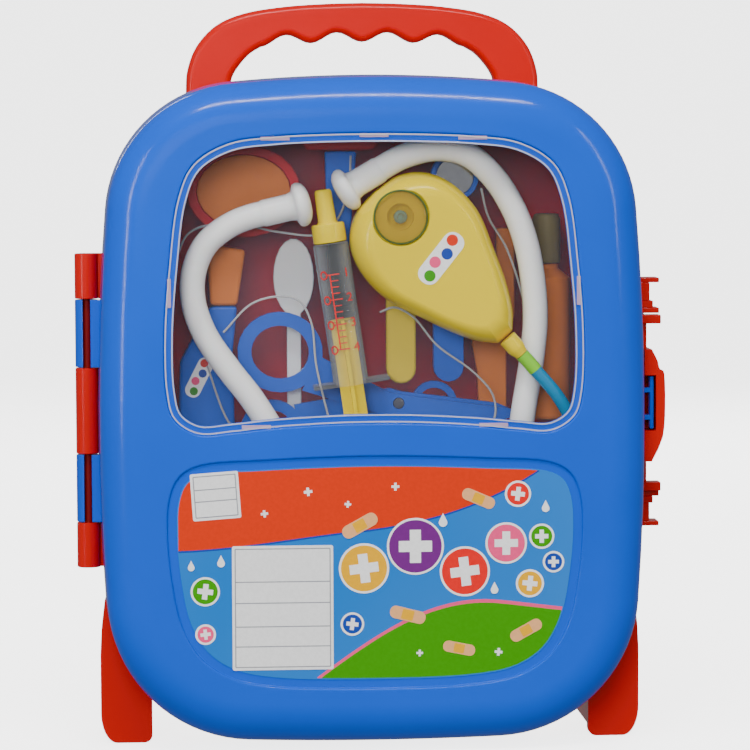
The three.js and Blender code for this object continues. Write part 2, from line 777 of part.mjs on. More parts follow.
function trayLedges() {
  const y = trayFlangeY + trayWall + seatGap;
  const half = ledgeLength / 2;
  const reach = rearInset + rearWall + ledgeDepth;
  const overlap = reach - ledgeDepth - rearWall / 2;
  const sides = [-1, 1].flatMap((side) => ledgeLevelShares.map((share) => {
    const x = [side * (caseHalfWidth - reach), side * (caseHalfWidth - overlap)];
    return box(x.sort((a, b) => a - b), [y, y + ledgeWall],
      [share * caseHalfHeight - half, share * caseHalfHeight + half]);
  }));
  const ends = [-1, 1].map((end) => {
    const z = [end * (caseHalfHeight - reach), end * (caseHalfHeight - overlap)];
    return box([-half, half], [y, y + ledgeWall], z.sort((a, b) => a - b));
  });
  return [...sides, ...ends];
}

function rearShell(posts) {
  const outer = lofted(tubRings(rearInset, rearFront, rearBack, rearRimWidth, rearRimDepth));
  const innerInset = rearInset + rearWall;
  const inner = lofted([
    [caseOutline(innerInset), rearFront - cutOverrun],
    ...tubRings(innerInset, rearFront, rearBack - rearWall, rearRimWidth, rearRimDepth)
      .slice(1),
  ]);
  const fenders = [-1, 1].map(fender);
  const hollow = without(inner, ...fenders);
  const arms = knuckleSpans.map((span) => joined(
    rod(knuckleRadius, ...span, [hingeX, partPlane], 'z'),
    box([hingeX, -caseHalfWidth + rearInset + 2 * rearWall],
      [rearFront, partPlane + knuckleRadius], span)));
  const pinBore = rod(hingePinRadius + seatGap,
    knuckleSpans[0][0] + pinFloorWall, knuckleSpans[2][1] + cutOverrun, [hingeX, partPlane], 'z');
  const bosses = screwPlaces().map((place) => rod(screwBossRadius,
    rearBack - rearWall - screwReach, rearBack - rearWall / 2, place, 'y'));
  const pilots = screwPlaces().map((place) => rod(screwRadius + seatGap,
    rearBack - rearWall - screwReach + pilotFloorWall, rearBack + cutOverrun, place, 'y',
    smallPinSideCount));
  const latchBores = [-1, 1].map((side) => rod(latchPinRadius + seatGap,
    ...grow(latchPinSpan(side), seatGap), [latchX, latchPivotY], 'z', smallPinSideCount));
  const brackets = [-1, 1].map(latchBracket);
  const body = joined(outer, ...fenders, ...arms, ...brackets);
  const tub = joined(without(body, hollow), ...bosses, ...trayLedges(), ...posts);
  return without(tub, pinBore, ...pilots, ...latchBores,
    ...[-1, 1].map(wheelWell), ...[-1, 1].map(axleBore));
}

function wheel(side) {
  const half = wheelWidth / 2;
  const bore = axleRadius + seatGap;
  const profile = [
    [bore, -half], [wheelRimRadius, wheelDish - half], [wheelRimRadius, -half],
    [wheelRadius - wheelDish / 2, -half], [wheelRadius, wheelDish / 2 - half],
    [wheelRadius, half - wheelDish / 2], [wheelRadius - wheelDish / 2, half],
    [wheelRimRadius, half], [wheelRimRadius, half - wheelDish], [bore, half], [bore, -half],
  ];
  const geometry = turned(profile);
  geometry.rotateZ(-Math.PI / 2);
  const [low, high] = fenderSpan(side);
  geometry.translate((low + high) / 2, wheelY, floorLevel + wheelRadius);
  return solidOf(geometry);
}

const axle = (side) => rod(axleRadius, ...fenderSpan(side),
  [wheelY, floorLevel + wheelRadius], 'x');

const hingePin = () => rod(hingePinRadius, knuckleSpans[0][0] + pinFloorWall + seatGap,
  knuckleSpans[2][1] - seatGap, [hingeX, partPlane], 'z');

// Buckle: a plate between two cheeks, with a bow that reaches forward round the catch
function latchBuckle() {
  const inner = caseHalfWidth + runningGap;
  const outer = inner + latchPlateWall;
  const reach = caseHalfWidth + latchReach;
  const back = latchPivotY + latchPinRadius + latchPlateWall / 2 - seatGap;
  const plate = box([inner, outer], [latchPlateFront, back], [-latchHalfHeight, latchHalfHeight]);
  const cheeks = [-1, 1].map((side) => {
    const span = [side * (latchHalfHeight - seatGap), side * (latchHalfHeight + latchCheekWall)]
      .sort((a, b) => a - b);
    return joined(box([inner, outer], [latchPlateFront, back], span),
      box([inner, reach], [latchPlateFront - latchPlateWall, latchPivotY - latchPlateWall],
        span));
  });
  const rise = reach - outer;
  const bowOutline = [[inner, -latchBowHalf], [outer, -latchBowHalf]];
  for (let i = 1; i < latchBowStepCount; i += 1) {
    const turn = Math.PI * i / latchBowStepCount;
    bowOutline.push([outer + rise * Math.sqrt(Math.sin(turn)), -Math.cos(turn) * latchBowHalf]);
  }
  bowOutline.push([outer, latchBowHalf], [inner, latchBowHalf]);
  const bow = prismY(bowOutline, latchBowFront, latchPlateFront + seatGap);
  const opening = box([inner - cutOverrun, reach - latchBowWall],
    [latchBowFront - cutOverrun, latchPlateFront - latchPlateWall],
    [latchWindowLow, latchWindowHigh]);
  const bores = [-1, 1].map((side) => rod(latchPinRadius + seatGap,
    ...grow(latchPinSpan(side), seatGap), [latchX, latchPivotY], 'z', smallPinSideCount));
  return without(joined(plate, ...cheeks, bow), opening, ...bores);
}

const latchPin = (side) => rod(latchPinRadius, ...latchPinSpan(side),
  [latchX, latchPivotY], 'z', smallPinSideCount);

// Channels for the handle's legs, in x for the right-hand side
const legOuter = handleHalfWidth;
const legInner = handleHalfWidth - handleLegWidth;
const panelFront = rearBack + seatGap;
const panelBack = caseHalfDepth;
const legFront = panelFront + runningGap;
const legBack = legFront + handleWall;

function rearPanel() {
  const plate = prismY(roundedRectangle(panelHalfWidth, [panelFoot, panelTop],
    panelCornerRadius), panelBack - panelWall, panelBack);
  const depth = [panelFront, panelBack - panelWall / 2];
  const outerRail = legOuter + runningGap;
  const lugRail = legInner - handleLug - runningGap;
  const stop = handleFoot + handleLugHeight + handleTravel + runningGap;
  const rails = [-1, 1].flatMap((side) => {
    const span = (a, b) => [side * a, side * b].sort((p, q) => p - q);
    return [
      box(span(outerRail, outerRail + railWall), depth,
        [panelFoot + panelCornerRadius, panelTop - panelCornerRadius]),
      box(span(lugRail - railWall, lugRail), depth, [panelFoot + railWall, panelTop - railWall]),
      box(span(lugRail - railWall / 2, legInner - runningGap), depth,
        [stop, panelTop - railWall]),
    ];
  });
  const bosses = screwPlaces().map((place) => rod(screwBossRadius, ...depth, place, 'y'));
  const holes = screwPlaces().flatMap((place) => [
    rod(screwRadius + seatGap, panelFront - cutOverrun, panelBack + cutOverrun, place, 'y',
      smallPinSideCount),
    rod(screwHeadRadius + seatGap, panelBack - screwHeadHeight - seatGap,
      panelBack + cutOverrun, place, 'y'),
  ]);
  return without(joined(plate, ...rails, ...bosses), ...holes);
}

function screw([x, z]) {
  const headSeat = panelBack - screwHeadHeight;
  const tip = rearBack - rearWall - screwReach + pilotFloorWall + seatGap;
  const shank = rod(screwRadius, tip, headSeat + seatGap, [x, z], 'y', smallPinSideCount);
  const head = rod(screwHeadRadius, headSeat, panelBack - seatGap, [x, z], 'y', pinSideCount);
  const depth = [headSeat + screwHeadHeight / 2, panelBack];
  const [narrow, wide] = screwSlotShares.map((share) => share * screwHeadRadius);
  const cross = [[narrow, wide], [wide, narrow]].map(([halfX, halfZ]) => box(
    [x - halfX, x + halfX], depth, [z - halfZ, z + halfZ]));
  return without(joined(shank, head), ...cross);
}

// The handle: two legs, an arched grip and finger scallops on its underside
function pullHandle() {
  const rise = handleTop - handleShoulder;
  const outer = gripShares.map(([u, v]) => [u * handleHalfWidth, handleShoulder + v * rise]);
  const innerRise = gripUnderside - handleShoulder;
  const scallopHalf = gripScallopPitch * gripScallopCount / 2;
  const shoulder = gripInnerShares.map(([u, v]) => [
    legInner - u * (legInner - scallopHalf) / gripInnerShares.at(-1)[0],
    handleShoulder + v * innerRise]);
  const scallops = [];
  const steps = gripScallopCount * gripScallopStepCount;
  for (let i = 0; i <= steps; i += 1) {
    const share = 1 - i / steps;
    const x = scallopHalf * share;
    const wave = -Math.cos(Math.PI * 2 * x / gripScallopPitch);
    scallops.push([x, gripUnderside + gripScallop * (wave + 1 - share * share)]);
  }
  const right = [
    [legInner - handleLug, handleFoot], [legOuter, handleFoot], ...outer.slice(0, -1),
  ];
  const crown = outer.at(-1);
  const lugTop = handleFoot + handleLugHeight;
  const underside = [
    ...scallops.slice(0, -1).reverse(), ...shoulder.slice(0, -1).reverse(),
    [legInner, lugTop], [legInner - handleLug, lugTop],
  ];
  const half = [scallops.at(-1), ...underside, ...right];
  const left = half.slice(1).map(([u, v]) => [-u, v]).reverse();
  return prismY([...half, crown, ...left], legFront, legBack);
}

// Clear tray: a flange on the ledges and a raised table for the front instruments
const trayTable = coverFront + frontRoom;
const trayBack = trayTable + trayWall;

function blisterTray() {
  const edge = rearInset + rearWall + trayEdgeGap;
  const foot = edge + trayFlangeWidth;
  const outer = lofted([
    [caseOutline(edge), trayFlangeY + trayWall],
    [caseOutline(edge), trayFlangeY],
    [caseOutline(foot), trayFlangeY],
    [caseOutline(foot + traySlope), trayTable],
  ]);
  const inner = lofted([
    [caseOutline(foot + trayWall), trayFlangeY + trayWall + cutOverrun],
    [caseOutline(foot + trayWall), trayFlangeY],
    [caseOutline(foot + trayWall + traySlope), trayBack],
  ]);
  const corners = [-1, 1].map((side) => box(
    grow(fenderSpan(side), trayEdgeGap), [trayTable - cutOverrun, trayFlangeY + cutOverrun],
    [floorLevel, floorLevel + fenderTop + trayEdgeGap]));
  return without(outer, inner, ...corners);
}

const frontSeat = trayTable - seatGap;
const spot = ([xShare, zShare]) => [xShare * caseHalfWidth, zShare * caseHalfHeight];

// A tube of even radius along points of [x, y, z]
function tube(points, radius, sides, steps) {
  const curve = new THREE.CatmullRomCurve3(
    points.map(([x, y, z]) => new THREE.Vector3(x, y, z)), false, 'centripetal');
  const section = new THREE.Shape(arc([0, 0], radius, 0, Math.PI * 2, sides)
    .map(([u, v]) => new THREE.Vector2(u, v)));
  return solidOf(new THREE.ExtrudeGeometry(section, {
    steps, bevelEnabled: false, extrudePath: curve,
  }));
}

// Stethoscope head set: centre lines run from behind each ear tip to the yoke
const yokeX = yokePlaceShare * caseHalfWidth;
const armY = frontSeat - earTipRadius - seatGap;
const armEnd = (side) => [yokeX + side * armSpread, yokeTop + seatGap];

function headsetArm(side) {
  const route = (side < 0 ? armShares.left : armShares.right).map(spot);
  const [endX, endZ] = armEnd(side);
  const lead = armRadius;
  const points = [...route, [endX, endZ + 2 * lead], [endX, endZ + lead], [endX, endZ]];
  return tube(points.map(([x, z]) => [x, armY, z]), armRadius, armSideCount, armStepCount);
}

// Ear tip: a sleeve and a soft disc, turned along the arm's first stretch
function earTip(side) {
  const route = (side < 0 ? armShares.left : armShares.right).map(spot);
  const [start, next] = route;
  const angle = Math.atan2(start[1] - next[1], start[0] - next[0]);
  const disc = earTipShares.map(([u, v]) => [u * earTipRadius, earSleeveLength + v * earTipWall]);
  const profile = [[0, 0], [earSleeveRadius, 0], [earSleeveRadius, earSleeveLength], ...disc];
  const geometry = turned(profile, toySideCount);
  geometry.rotateZ(angle - Math.PI / 2);
  geometry.rotateX(Math.PI / 2);
  const away = seatGap;
  geometry.translate(start[0] + away * Math.cos(angle), armY, start[1] + away * Math.sin(angle));
  return solidOf(geometry);
}

function yoke() {
  const foot = yokeTop - yokeHeight;
  const half = yokeWidth / 2;
  const neck = yokeNeck / 2;
  const shoulder = yokeHeight * yokeShoulderShare;
  return prismY([
    [yokeX - neck, foot], [yokeX + neck, foot], [yokeX + neck, foot + shoulder],
    [yokeX + half, yokeTop - shoulder], [yokeX + half, yokeTop],
    [yokeX - half, yokeTop], [yokeX - half, yokeTop - shoulder],
    [yokeX - neck, foot + shoulder],
  ], frontSeat - yokeWall, frontSeat);
}

// Chest piece: a pear lying on the tray, its small end down to the right

function chestFrame([along, across]) {
  const [x, z] = spot(chestPlaceShares);
  const cos = Math.cos(chestTilt);
  const sin = Math.sin(chestTilt);
  return [x - along * cos + across * sin, z - along * sin - across * cos];
}

function chestRing(inset) {
  const shrink = 1 - 2 * inset / chestWidth;
  const upper = chestShares.map(([u, v]) => [u * chestLength * shrink, v * chestWidth * shrink]);
  const curve = new THREE.SplineCurve(upper.map(([u, v]) => new THREE.Vector2(u, v)));
  const points = curve.getPoints(chestStepCount).map(({ x, y }) => [x, y]);
  const lower = points.slice(1).reverse().map(([u, v]) => [u, -v]);
  return [...points, ...lower].map(chestFrame);
}

const chestSplit = frontSeat - chestBackWall;
const chestFace = windowBack + chestWindowGap;
const lensPlace = () => chestFrame([lensShares[0] * chestLength, lensShares[1] * chestWidth]);

function chestFront() {
  const seat = chestSplit - faceGap;
  const rings = chestFrontShares.map(([inset, rise]) => [
    chestRing(chestRound * inset), seat - (seat - chestFace) * rise]);
  const body = lofted([[chestRing(0), seat], ...rings], chestFrame([0, 0]));
  const place = lensPlace();
  const lensSeat = chestFace + lensWall + faceGap;
  return without(body,
    rod(lensRadius + seatGap, chestFace - cutOverrun, lensSeat, place, 'y', lensSideCount),
    rod(lampRadius * 2, chestFace - cutOverrun, lensSeat + lampLength + seatGap, place, 'y'));
}

function chestBack() {
  const rings = chestBackShares.map(([inset, rise]) => [
    chestRing(chestBackWall * inset), frontSeat - chestBackWall * rise]);
  return lofted([...rings, [chestRing(0), chestSplit]], chestFrame([0, 0]));
}

const chestLens = () => rod(lensRadius, chestFace - lensWall * lensProudShare,
  chestFace + lensWall, lensPlace(), 'y', lensSideCount);

const chestLamp = () => rod(lampRadius, chestFace + lensWall + faceGap + seatGap,
  chestFace + lensWall + faceGap + lampLength, lensPlace(), 'y');

// Spigot at the pear's small end, with the hose pushed over its tip
const spigotY = chestFace + spigotRadius + chestRound * spigotDropShare;
const chestDirection = [Math.cos(chestTilt), Math.sin(chestTilt)];
const spigotStart = () => chestFrame([-chestLength / 2 - faceGap, 0]);

function spigot() {
  const geometry = turned([[0, 0], [spigotRadius, 0],
    [spigotRadius, spigotLength * spigotTipShare],
    [spigotRadius * spigotTipShare, spigotLength], [0, spigotLength]], spigotSideCount);
  geometry.rotateZ(chestTilt - Math.PI / 2);
  geometry.rotateX(Math.PI / 2);
  const [x, z] = spigotStart();
  geometry.translate(x, spigotY, z);
  return solidOf(geometry);
}


function hose() {
  const [x, z] = spigotStart();
  const [dx, dz] = chestDirection;
  const start = spigotLength + seatGap;
  const low = frontSeat - hoseRadius;
  const yokeEntry = frontSeat - yokeWall / 2;
  const points = [0, hoseRadius * 1.5].map((step) => [
    x + dx * (start + step), spigotY, z + dz * (start + step)]);
  hoseShares.forEach((share, i) => {
    const [u, v] = spot(share);
    points.push([u, low + (spigotY - low) * hoseDepthShares[i], v]);
  });
  const foot = yokeTop - yokeHeight - seatGap;
  points.push([yokeX, yokeEntry, foot - 2 * hoseRadius], [yokeX, yokeEntry, foot]);
  return tube(points, hoseRadius, hoseSideCount, hoseStepCount);
}

// Syringe, drawn upright with its nozzle up, then tilted into place
const syringeY = frontSeat - barrelRadius - seatGap;

function placeSyringe(geometry) {
  geometry.rotateX(Math.PI / 2);
  geometry.rotateY(-syringeTilt);
  const [x, z] = spot(syringePlaceShares);
  geometry.translate(x, syringeY, z);
  return solidOf(geometry);
}

const barrelHalf = barrelLength / 2;
const barrelInner = barrelRadius - barrelWall;
const pistonLevel = barrelLength * (1 / 2 - pistonLevelShare);

function syringeBarrel() {
  const profile = [
    [barrelInner, -barrelHalf], [barrelRadius, -barrelHalf], [barrelRadius, barrelHalf],
    [nozzleRadius, barrelHalf], [nozzleRadius, barrelHalf + nozzleLength],
    [0, barrelHalf + nozzleLength], [0, barrelHalf - barrelWall],
    [barrelInner, barrelHalf - barrelWall], [barrelInner, -barrelHalf],
  ];
  const body = placeSyringe(turned(profile, barrelSideCount));
  const grip = new THREE.BoxGeometry(flangeHalfWidth * 2, flangeWall, barrelRadius * 2);
  grip.translate(0, -barrelHalf + flangeWall / 2, 0);
  const room = turned([[0, -barrelLength], [barrelInner, -barrelLength],
    [barrelInner, barrelHalf - barrelWall], [0, barrelHalf - barrelWall]], barrelSideCount);
  return without(joined(body, placeSyringe(grip)), placeSyringe(room));
}

function syringeCap() {
  const start = barrelHalf + seatGap;
  const bore = nozzleRadius + seatGap;
  const depth = start + nozzleLength + seatGap;
  const spout = capShares.map(([u, v]) => [
    u * capNozzleRadius, start + capHeight + v * capNozzleLength]);
  const profile = [
    [bore, start], [capRadius, start], [capRadius, start + capHeight], ...spout,
    [0, start + capHeight + capNozzleLength], [0, depth], [bore, depth], [bore, start],
  ];
  return placeSyringe(turned(profile, toySideCount));
}

function syringePiston() {
  const radius = barrelInner - seatGap;
  const half = pistonLength / 2;
  const profile = pistonShares.map(([u, v]) => [u * radius, v * half]);
  return placeSyringe(turned(profile, toySideCount).translate(0, pistonLevel, 0));
}

function syringePlunger() {
  const top = pistonLevel - pistonLength / 2 - faceGap;
  const bottom = top - plungerReach;
  const wide = new THREE.BoxGeometry(plungerHalfWidth * 2, plungerReach, plungerRib);
  const deep = new THREE.BoxGeometry(plungerRib, plungerReach, plungerHalfWidth * 2);
  const edge = thumbRadius * thumbEdgeShare;
  const disc = turned([[0, bottom], [edge, bottom], [thumbRadius, bottom + thumbWall / 2],
    [edge, bottom + thumbWall], [0, bottom + thumbWall]], toySideCount);
  const ribs = [wide, deep].map((rib) => placeSyringe(rib.translate(0, (top + bottom) / 2, 0)));
  const flats = new THREE.BoxGeometry(thumbRadius * 3, thumbWall * 2, (barrelRadius - seatGap) * 2);
  return joined(...ribs, placeSyringe(disc)).intersect(joined(
    placeSyringe(flats.translate(0, bottom + thumbWall / 2, 0)),
    placeSyringe(new THREE.BoxGeometry(thumbRadius * 3, plungerReach, thumbRadius * 3)
      .translate(0, (top + bottom) / 2 + thumbWall, 0))));
}

// Instruments behind the tray, each a flat moulding in one of two layers
const toySeat = trayBack + seatGap;
const layer = (depth, wall = toyWall) => [toySeat + depth, toySeat + depth + wall];
const deepLayer = toyWall + toyGap;

function ellipse([cx, cz], halfX, halfZ, steps = toySideCount) {
  return arc([0, 0], 1, 0, Math.PI * 2, steps)
    .map(([u, v]) => [cx + u * halfX, cz + v * halfZ]);
}

// An oval of the goggles' size, drawn in by a margin
const goggleOval = (margin) => ellipse(
  spot(gogglePlaceShares), ...goggleHalf.map((half) => half - margin));

function goggleFrame() {
  const rim = prismY(goggleOval(0), ...layer(0));
  const room = prismY(goggleOval(goggleBand), toySeat - cutOverrun, toySeat + goggleLensBack);
  const view = prismY(goggleOval(goggleBand + goggleLip), toySeat - cutOverrun,
    toySeat + toyWall + cutOverrun);
  return without(rim, room, view);
}

const goggleLens = () => prismY(goggleOval(goggleBand + seatGap), toySeat + goggleLensFront,
  toySeat + goggleLensBack - faceGap);

const otoscopeHandle = () => prismY(otoscopeShares.map(spot), ...layer(0, otoscopeWall));
const otoscopeHead = () => prismY(
  otoscopeHeadShares.map(([u, v], i) => {
    const [x, z] = spot([u, v]);
    return [x, i < 2 ? z + seatGap : z];
  }), ...layer(0, otoscopeWall));

// Scissors: two halves on a rivet, drawn along u with the blades to +u
const scissorPlace = () => spot(scissorPlaceShares);

function scissorFrame([u, v]) {
  const [x, z] = scissorPlace();
  const cos = Math.cos(scissorTurn);
  const sin = Math.sin(scissorTurn);
  return [x + u * cos - v * sin, z + u * sin + v * cos];
}

function scissorHalf(name) {
  const side = name === 'front' ? 1 : -1;
  const depth = name === 'front' ? layer(0, scissorWall)
    : layer(scissorWall + seatGap, scissorWall);
  const [halfU, halfV, band] = scissorLoops[name];
  const placed = (points) => (side > 0 ? points : [...points].reverse())
    .map(([u, v]) => scissorFrame([u, side * v]));
  const [ringU, ringV] = scissorRing;
  const loop = ellipse([ringU, ringV], halfU, halfV, scissorSideCount);
  const hole = ellipse([ringU, ringV], halfU - band, halfV - band, scissorSideCount);
  const [alongShare, acrossShare, bandShare] = loopRootShares;
  const shank = [[ringU + halfU * alongShare, ringV + halfV * acrossShare],
    ...shankShares.map(([u, v]) => [u * bladeHalf, v * bladeHalf]),
    [ringU + halfU - band * bandShare, ringV]];
  const [lowRoot, highRoot] = bladeRootShares.map((share) => [-bladeHalf, share * bladeHalf]);
  const blade = [lowRoot, ...bladeTipShares.map(([u, v]) => [u * bladeLength, v * bladeHalf]),
    highRoot];
  const room = prismY(placed(hole), depth[0] - cutOverrun, depth[1] + cutOverrun);
  const bore = rod(rivetRadius + seatGap, depth[0] - cutOverrun, depth[1] + cutOverrun,
    scissorPlace(), 'y');
  return without(joined(prismY(placed(loop), ...depth), prismY(placed(shank), ...depth),
    prismY(placed(blade), ...depth)), room, bore);
}

function scissorRivet() {
  const [low] = layer(0, scissorWall);
  const [, high] = layer(scissorWall + seatGap, scissorWall);
  return joined(rod(rivetRadius, low, high + seatGap + rivetHeadWall, scissorPlace(), 'y'),
    rod(rivetHeadRadius, high + seatGap, high + seatGap + rivetHeadWall, scissorPlace(), 'y'));
}

function toySpoon() {
  const [x, z] = spot(spoonPlaceShares);
  const depth = layer(deepLayer, spoonWall);
  const bowl = prismY(ellipse([x, z], ...spoonHalf), ...depth);
  const stem = box([x - spoonStem, x + spoonStem], depth, [z - spoonStemLength, z]);
  return joined(bowl, stem);
}

const hammerHandle = () => prismY(hammerShares.map(spot), ...layer(0));

function hammerHead() {
  const [x, z] = spot(hammerHeadPlaceShares);
  const low = z + seatGap;
  return prismY(roundedRectangle(hammerHeadHalf, [low, low + hammerHeadHeight],
    hammerHeadRound).map(([u, v]) => [u + x, v]), ...layer(0, hammerHeadWall));
}

// A flat bar with a round tip at the foot
function bar(x, low, high, halfWidth) {
  return [...arc([x, low + halfWidth], halfWidth, Math.PI, Math.PI * 2, tipStepCount),
    [x + halfWidth, low + halfWidth], [x + halfWidth, high], [x - halfWidth, high]];
}

function thermometer() {
  const [x, low] = spot(thermometerFootShares);
  const high = caseHalfHeight * thermometerTopShare;
  return prismY(bar(x, low, high, thermometerHalf), ...layer(0));
}

const mirrorDisc = (radius) => ellipse(spot(mirrorPlaceShares), radius, radius);

function mirrorHandle() {
  const [x, low] = spot(mirrorFootShares);
  const [, high] = spot(mirrorPlaceShares);
  const disc = prismY(mirrorDisc(mirrorRadius), ...layer(0));
  const seat = prismY(mirrorDisc(mirrorSeatRadius), toySeat - cutOverrun,
    toySeat + mirrorGlassWall + seatGap);
  return without(joined(prismY(bar(x, low, high, mirrorHalf), ...layer(0)), disc), seat);
}

const mirrorGlass = () => prismY(mirrorDisc(mirrorSeatRadius - seatGap),
  toySeat, toySeat + mirrorGlassWall);

function probe() {
  const [x, z] = spot(probePlaceShares);
  const depth = layer(deepLayer, spoonWall);
  const disc = (radius, span) => prismY(ellipse([x, z], radius, radius), ...span);
  const stem = box([x - probeStem, x + probeStem], depth,
    [z - probeStemLength, z - probeRadius + probeBand / 2]);
  return without(joined(disc(probeRadius, depth), stem),
    disc(probeRadius - probeBand, grow(depth, cutOverrun)));
}

const forceps = () => prismY(forcepsShares.map(spot), ...layer(deepLayer, toyWall));

// A turned piece of the bottle, from shares of its radius and height, standing at a level
const bottleY = toySeat + bottleRadius;

function bottlePiece(shares, radius, height, low) {
  const side = shares.map(([u, v]) => [u * radius, low + v * height]);
  const [x, z] = spot(bottlePlaceShares);
  const geometry = turned([[0, low], ...side, [0, low + height]], toySideCount);
  return solidOf(geometry.rotateX(Math.PI / 2).translate(x, bottleY, z));
}

const bottle = () => bottlePiece(bottleShares, bottleRadius, bottleHeight, -bottleHeight / 2);
const bottleCap = () => bottlePiece(
  bottleCapShares, bottleCapRadius, bottleCapHeight, bottleHeight / 2 + seatGap);

// Posts from the rear wall up to the instruments that lie against the tray
const postReaches = {
  flat: layer(0)[1],
  otoscope: layer(0, otoscopeWall)[1],
  thin: layer(deepLayer, spoonWall)[1],
  forceps: layer(deepLayer)[1],
  bottle: bottleY + bottleRadius,
};

const posts = () => Object.entries(postShares).flatMap(([kind, places]) => places.map(
  (place) => rod(postRadius, postReaches[kind] + seatGap, rearBack - rearWall / 2, spot(place),
    'y', postSideCount)));

// The whole case
const group = new THREE.Group();
group.position.z = caseLift + caseHalfHeight;

function add(name, solid, material) {
  const mesh = new THREE.Mesh(geometryOf(solid), material);
  mesh.name = name;
  group.add(mesh);
}

add('rear_shell', rearShell(posts()), plastic(caseRed));
add('rear_panel', rearPanel(), plastic(caseRed));
screwPlaces().forEach((place, i) => add(`panel_screw_${i + 1}`, screw(place), steel()));
add('pull_handle', pullHandle(), plastic(caseRed));
for (const [name, side] of [['left', -1], ['right', 1]]) {
  add(`${name}_wheel`, wheel(side), plastic(0x7a1512, 0.5));
  add(`${name}_axle`, axle(side), steel());
}
add('hinge_pin', hingePin(), plastic(0xa81a10));
add('front_cover', frontCover(), plastic(caseBlue));
add('window_panel', windowPanel(), clearPlastic(0xf2f6fa, 0.25));
add('label_sheet', labelSheet(), plastic(0x2fa8e0, 0.5));
add('large_sticker', sticker(largeStickerWidth, largeStickerHeight, largeStickerShares, 0),
  plastic(toyWhite, 0.6));
add('small_sticker', sticker(smallStickerWidth, smallStickerHeight, smallStickerShares,
  smallStickerTilt), plastic(toyWhite, 0.6));
add('latch_buckle', latchBuckle(), plastic(caseRed));
add('upper_latch_pin', latchPin(1), steel());
add('lower_latch_pin', latchPin(-1), steel());
add('blister_tray', blisterTray(), clearPlastic(0xe8ecf2, 0.35));
for (const [name, side] of [['left', -1], ['right', 1]]) {
  add(`${name}_ear_tube`, headsetArm(side), plastic(toyWhite));
  add(`${name}_ear_tip`, earTip(side), plastic(toyWhite, 0.5));
}
add('headset_yoke', yoke(), plastic(toyWhite));
add('stethoscope_hose', hose(), clearPlastic(0x58b4e6, 0.6));
add('chest_piece_front', chestFront(), plastic(toyYellow));
add('chest_piece_back', chestBack(), plastic(toyYellow));
add('chest_piece_lens', chestLens(), clearPlastic(0x9a8a3a, 0.7));
add('chest_piece_lamp', chestLamp(), plastic(0x4aa0a0));
add('hose_spigot', spigot(), plastic(toyYellow));
add('syringe_barrel', syringeBarrel(), clearPlastic(0xf4f8fa, 0.3));
add('syringe_cap', syringeCap(), plastic(toyYellow));
add('syringe_piston', syringePiston(), plastic(0x1c1a1a, 0.7));
add('syringe_plunger', syringePlunger(), plastic(toyYellow));
add('goggle_frame', goggleFrame(), plastic(caseRed));
add('goggle_lens', goggleLens(), clearPlastic(toyAmber, 0.7));
add('otoscope_handle', otoscopeHandle(), plastic(toyBlue));
add('otoscope_head', otoscopeHead(), plastic(toyAmber));
add('scissor_front_half', scissorHalf('front'), plastic(toyBlue));
add('scissor_back_half', scissorHalf('back'), plastic(toyBlue));
add('scissor_rivet', scissorRivet(), steel());
add('toy_spoon', toySpoon(), plastic(toyWhite));
add('hammer_handle', hammerHandle(), plastic(toyBlue));
add('hammer_head', hammerHead(), plastic(caseRed, 0.6));
add('thermometer', thermometer(), plastic(toyYellow));
add('mirror_handle', mirrorHandle(), plastic(toyBlue));
add('mirror_glass', mirrorGlass(), new THREE.MeshStandardMaterial({
  color: 0xd8dce2, roughness: 0.05, metalness: 1,
}));
add('probe', probe(), plastic(toyBlue));
add('forceps', forceps(), plastic(toyAmber));
add('medicine_bottle', bottle(), plastic(toyAmber));
add('bottle_cap', bottleCap(), plastic(0x7a7a2a));

export default group;
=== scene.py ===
"""Toy doctor case: its looks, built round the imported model.

A wheeled plastic case stands upright, its clear window towards -Y. Sizes are in millimetres in the
case's own coordinates, with z counted from the middle of its height; place() turns them into metres.
"""
import logging
import math
from dataclasses import dataclass
from enum import Enum
from functools import cache
from typing import Callable, Iterable, Sequence

import bmesh
import bpy
from mathutils import Matrix, Vector


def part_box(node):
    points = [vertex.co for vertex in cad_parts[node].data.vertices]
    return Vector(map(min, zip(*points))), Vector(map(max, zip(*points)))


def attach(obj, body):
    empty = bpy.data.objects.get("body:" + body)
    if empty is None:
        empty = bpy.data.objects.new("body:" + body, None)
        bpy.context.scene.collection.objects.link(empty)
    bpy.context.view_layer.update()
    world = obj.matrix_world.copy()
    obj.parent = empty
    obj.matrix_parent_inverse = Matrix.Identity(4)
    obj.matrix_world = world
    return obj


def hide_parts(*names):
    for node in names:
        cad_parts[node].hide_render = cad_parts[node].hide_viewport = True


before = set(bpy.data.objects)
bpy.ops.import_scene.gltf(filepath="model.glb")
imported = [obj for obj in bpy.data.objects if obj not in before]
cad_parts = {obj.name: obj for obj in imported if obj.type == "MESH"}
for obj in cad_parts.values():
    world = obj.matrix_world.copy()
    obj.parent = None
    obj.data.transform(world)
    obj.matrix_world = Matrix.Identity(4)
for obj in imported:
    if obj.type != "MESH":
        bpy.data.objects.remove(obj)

logging.basicConfig(level=logging.INFO, format="%(message)s")
log = logging.getLogger("doctor_case")

Point = tuple[float, float]
Span = tuple[float, float]
Colour = tuple[float, float, float]
Piece = bpy.types.Object
Socket = bpy.types.NodeSocket

MM = 0.001
HALF_TURN = math.pi
QUARTER_TURN = math.pi / 2
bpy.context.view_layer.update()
MIDDLE = sum(corner.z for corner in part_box("front_cover")) / 2 / MM


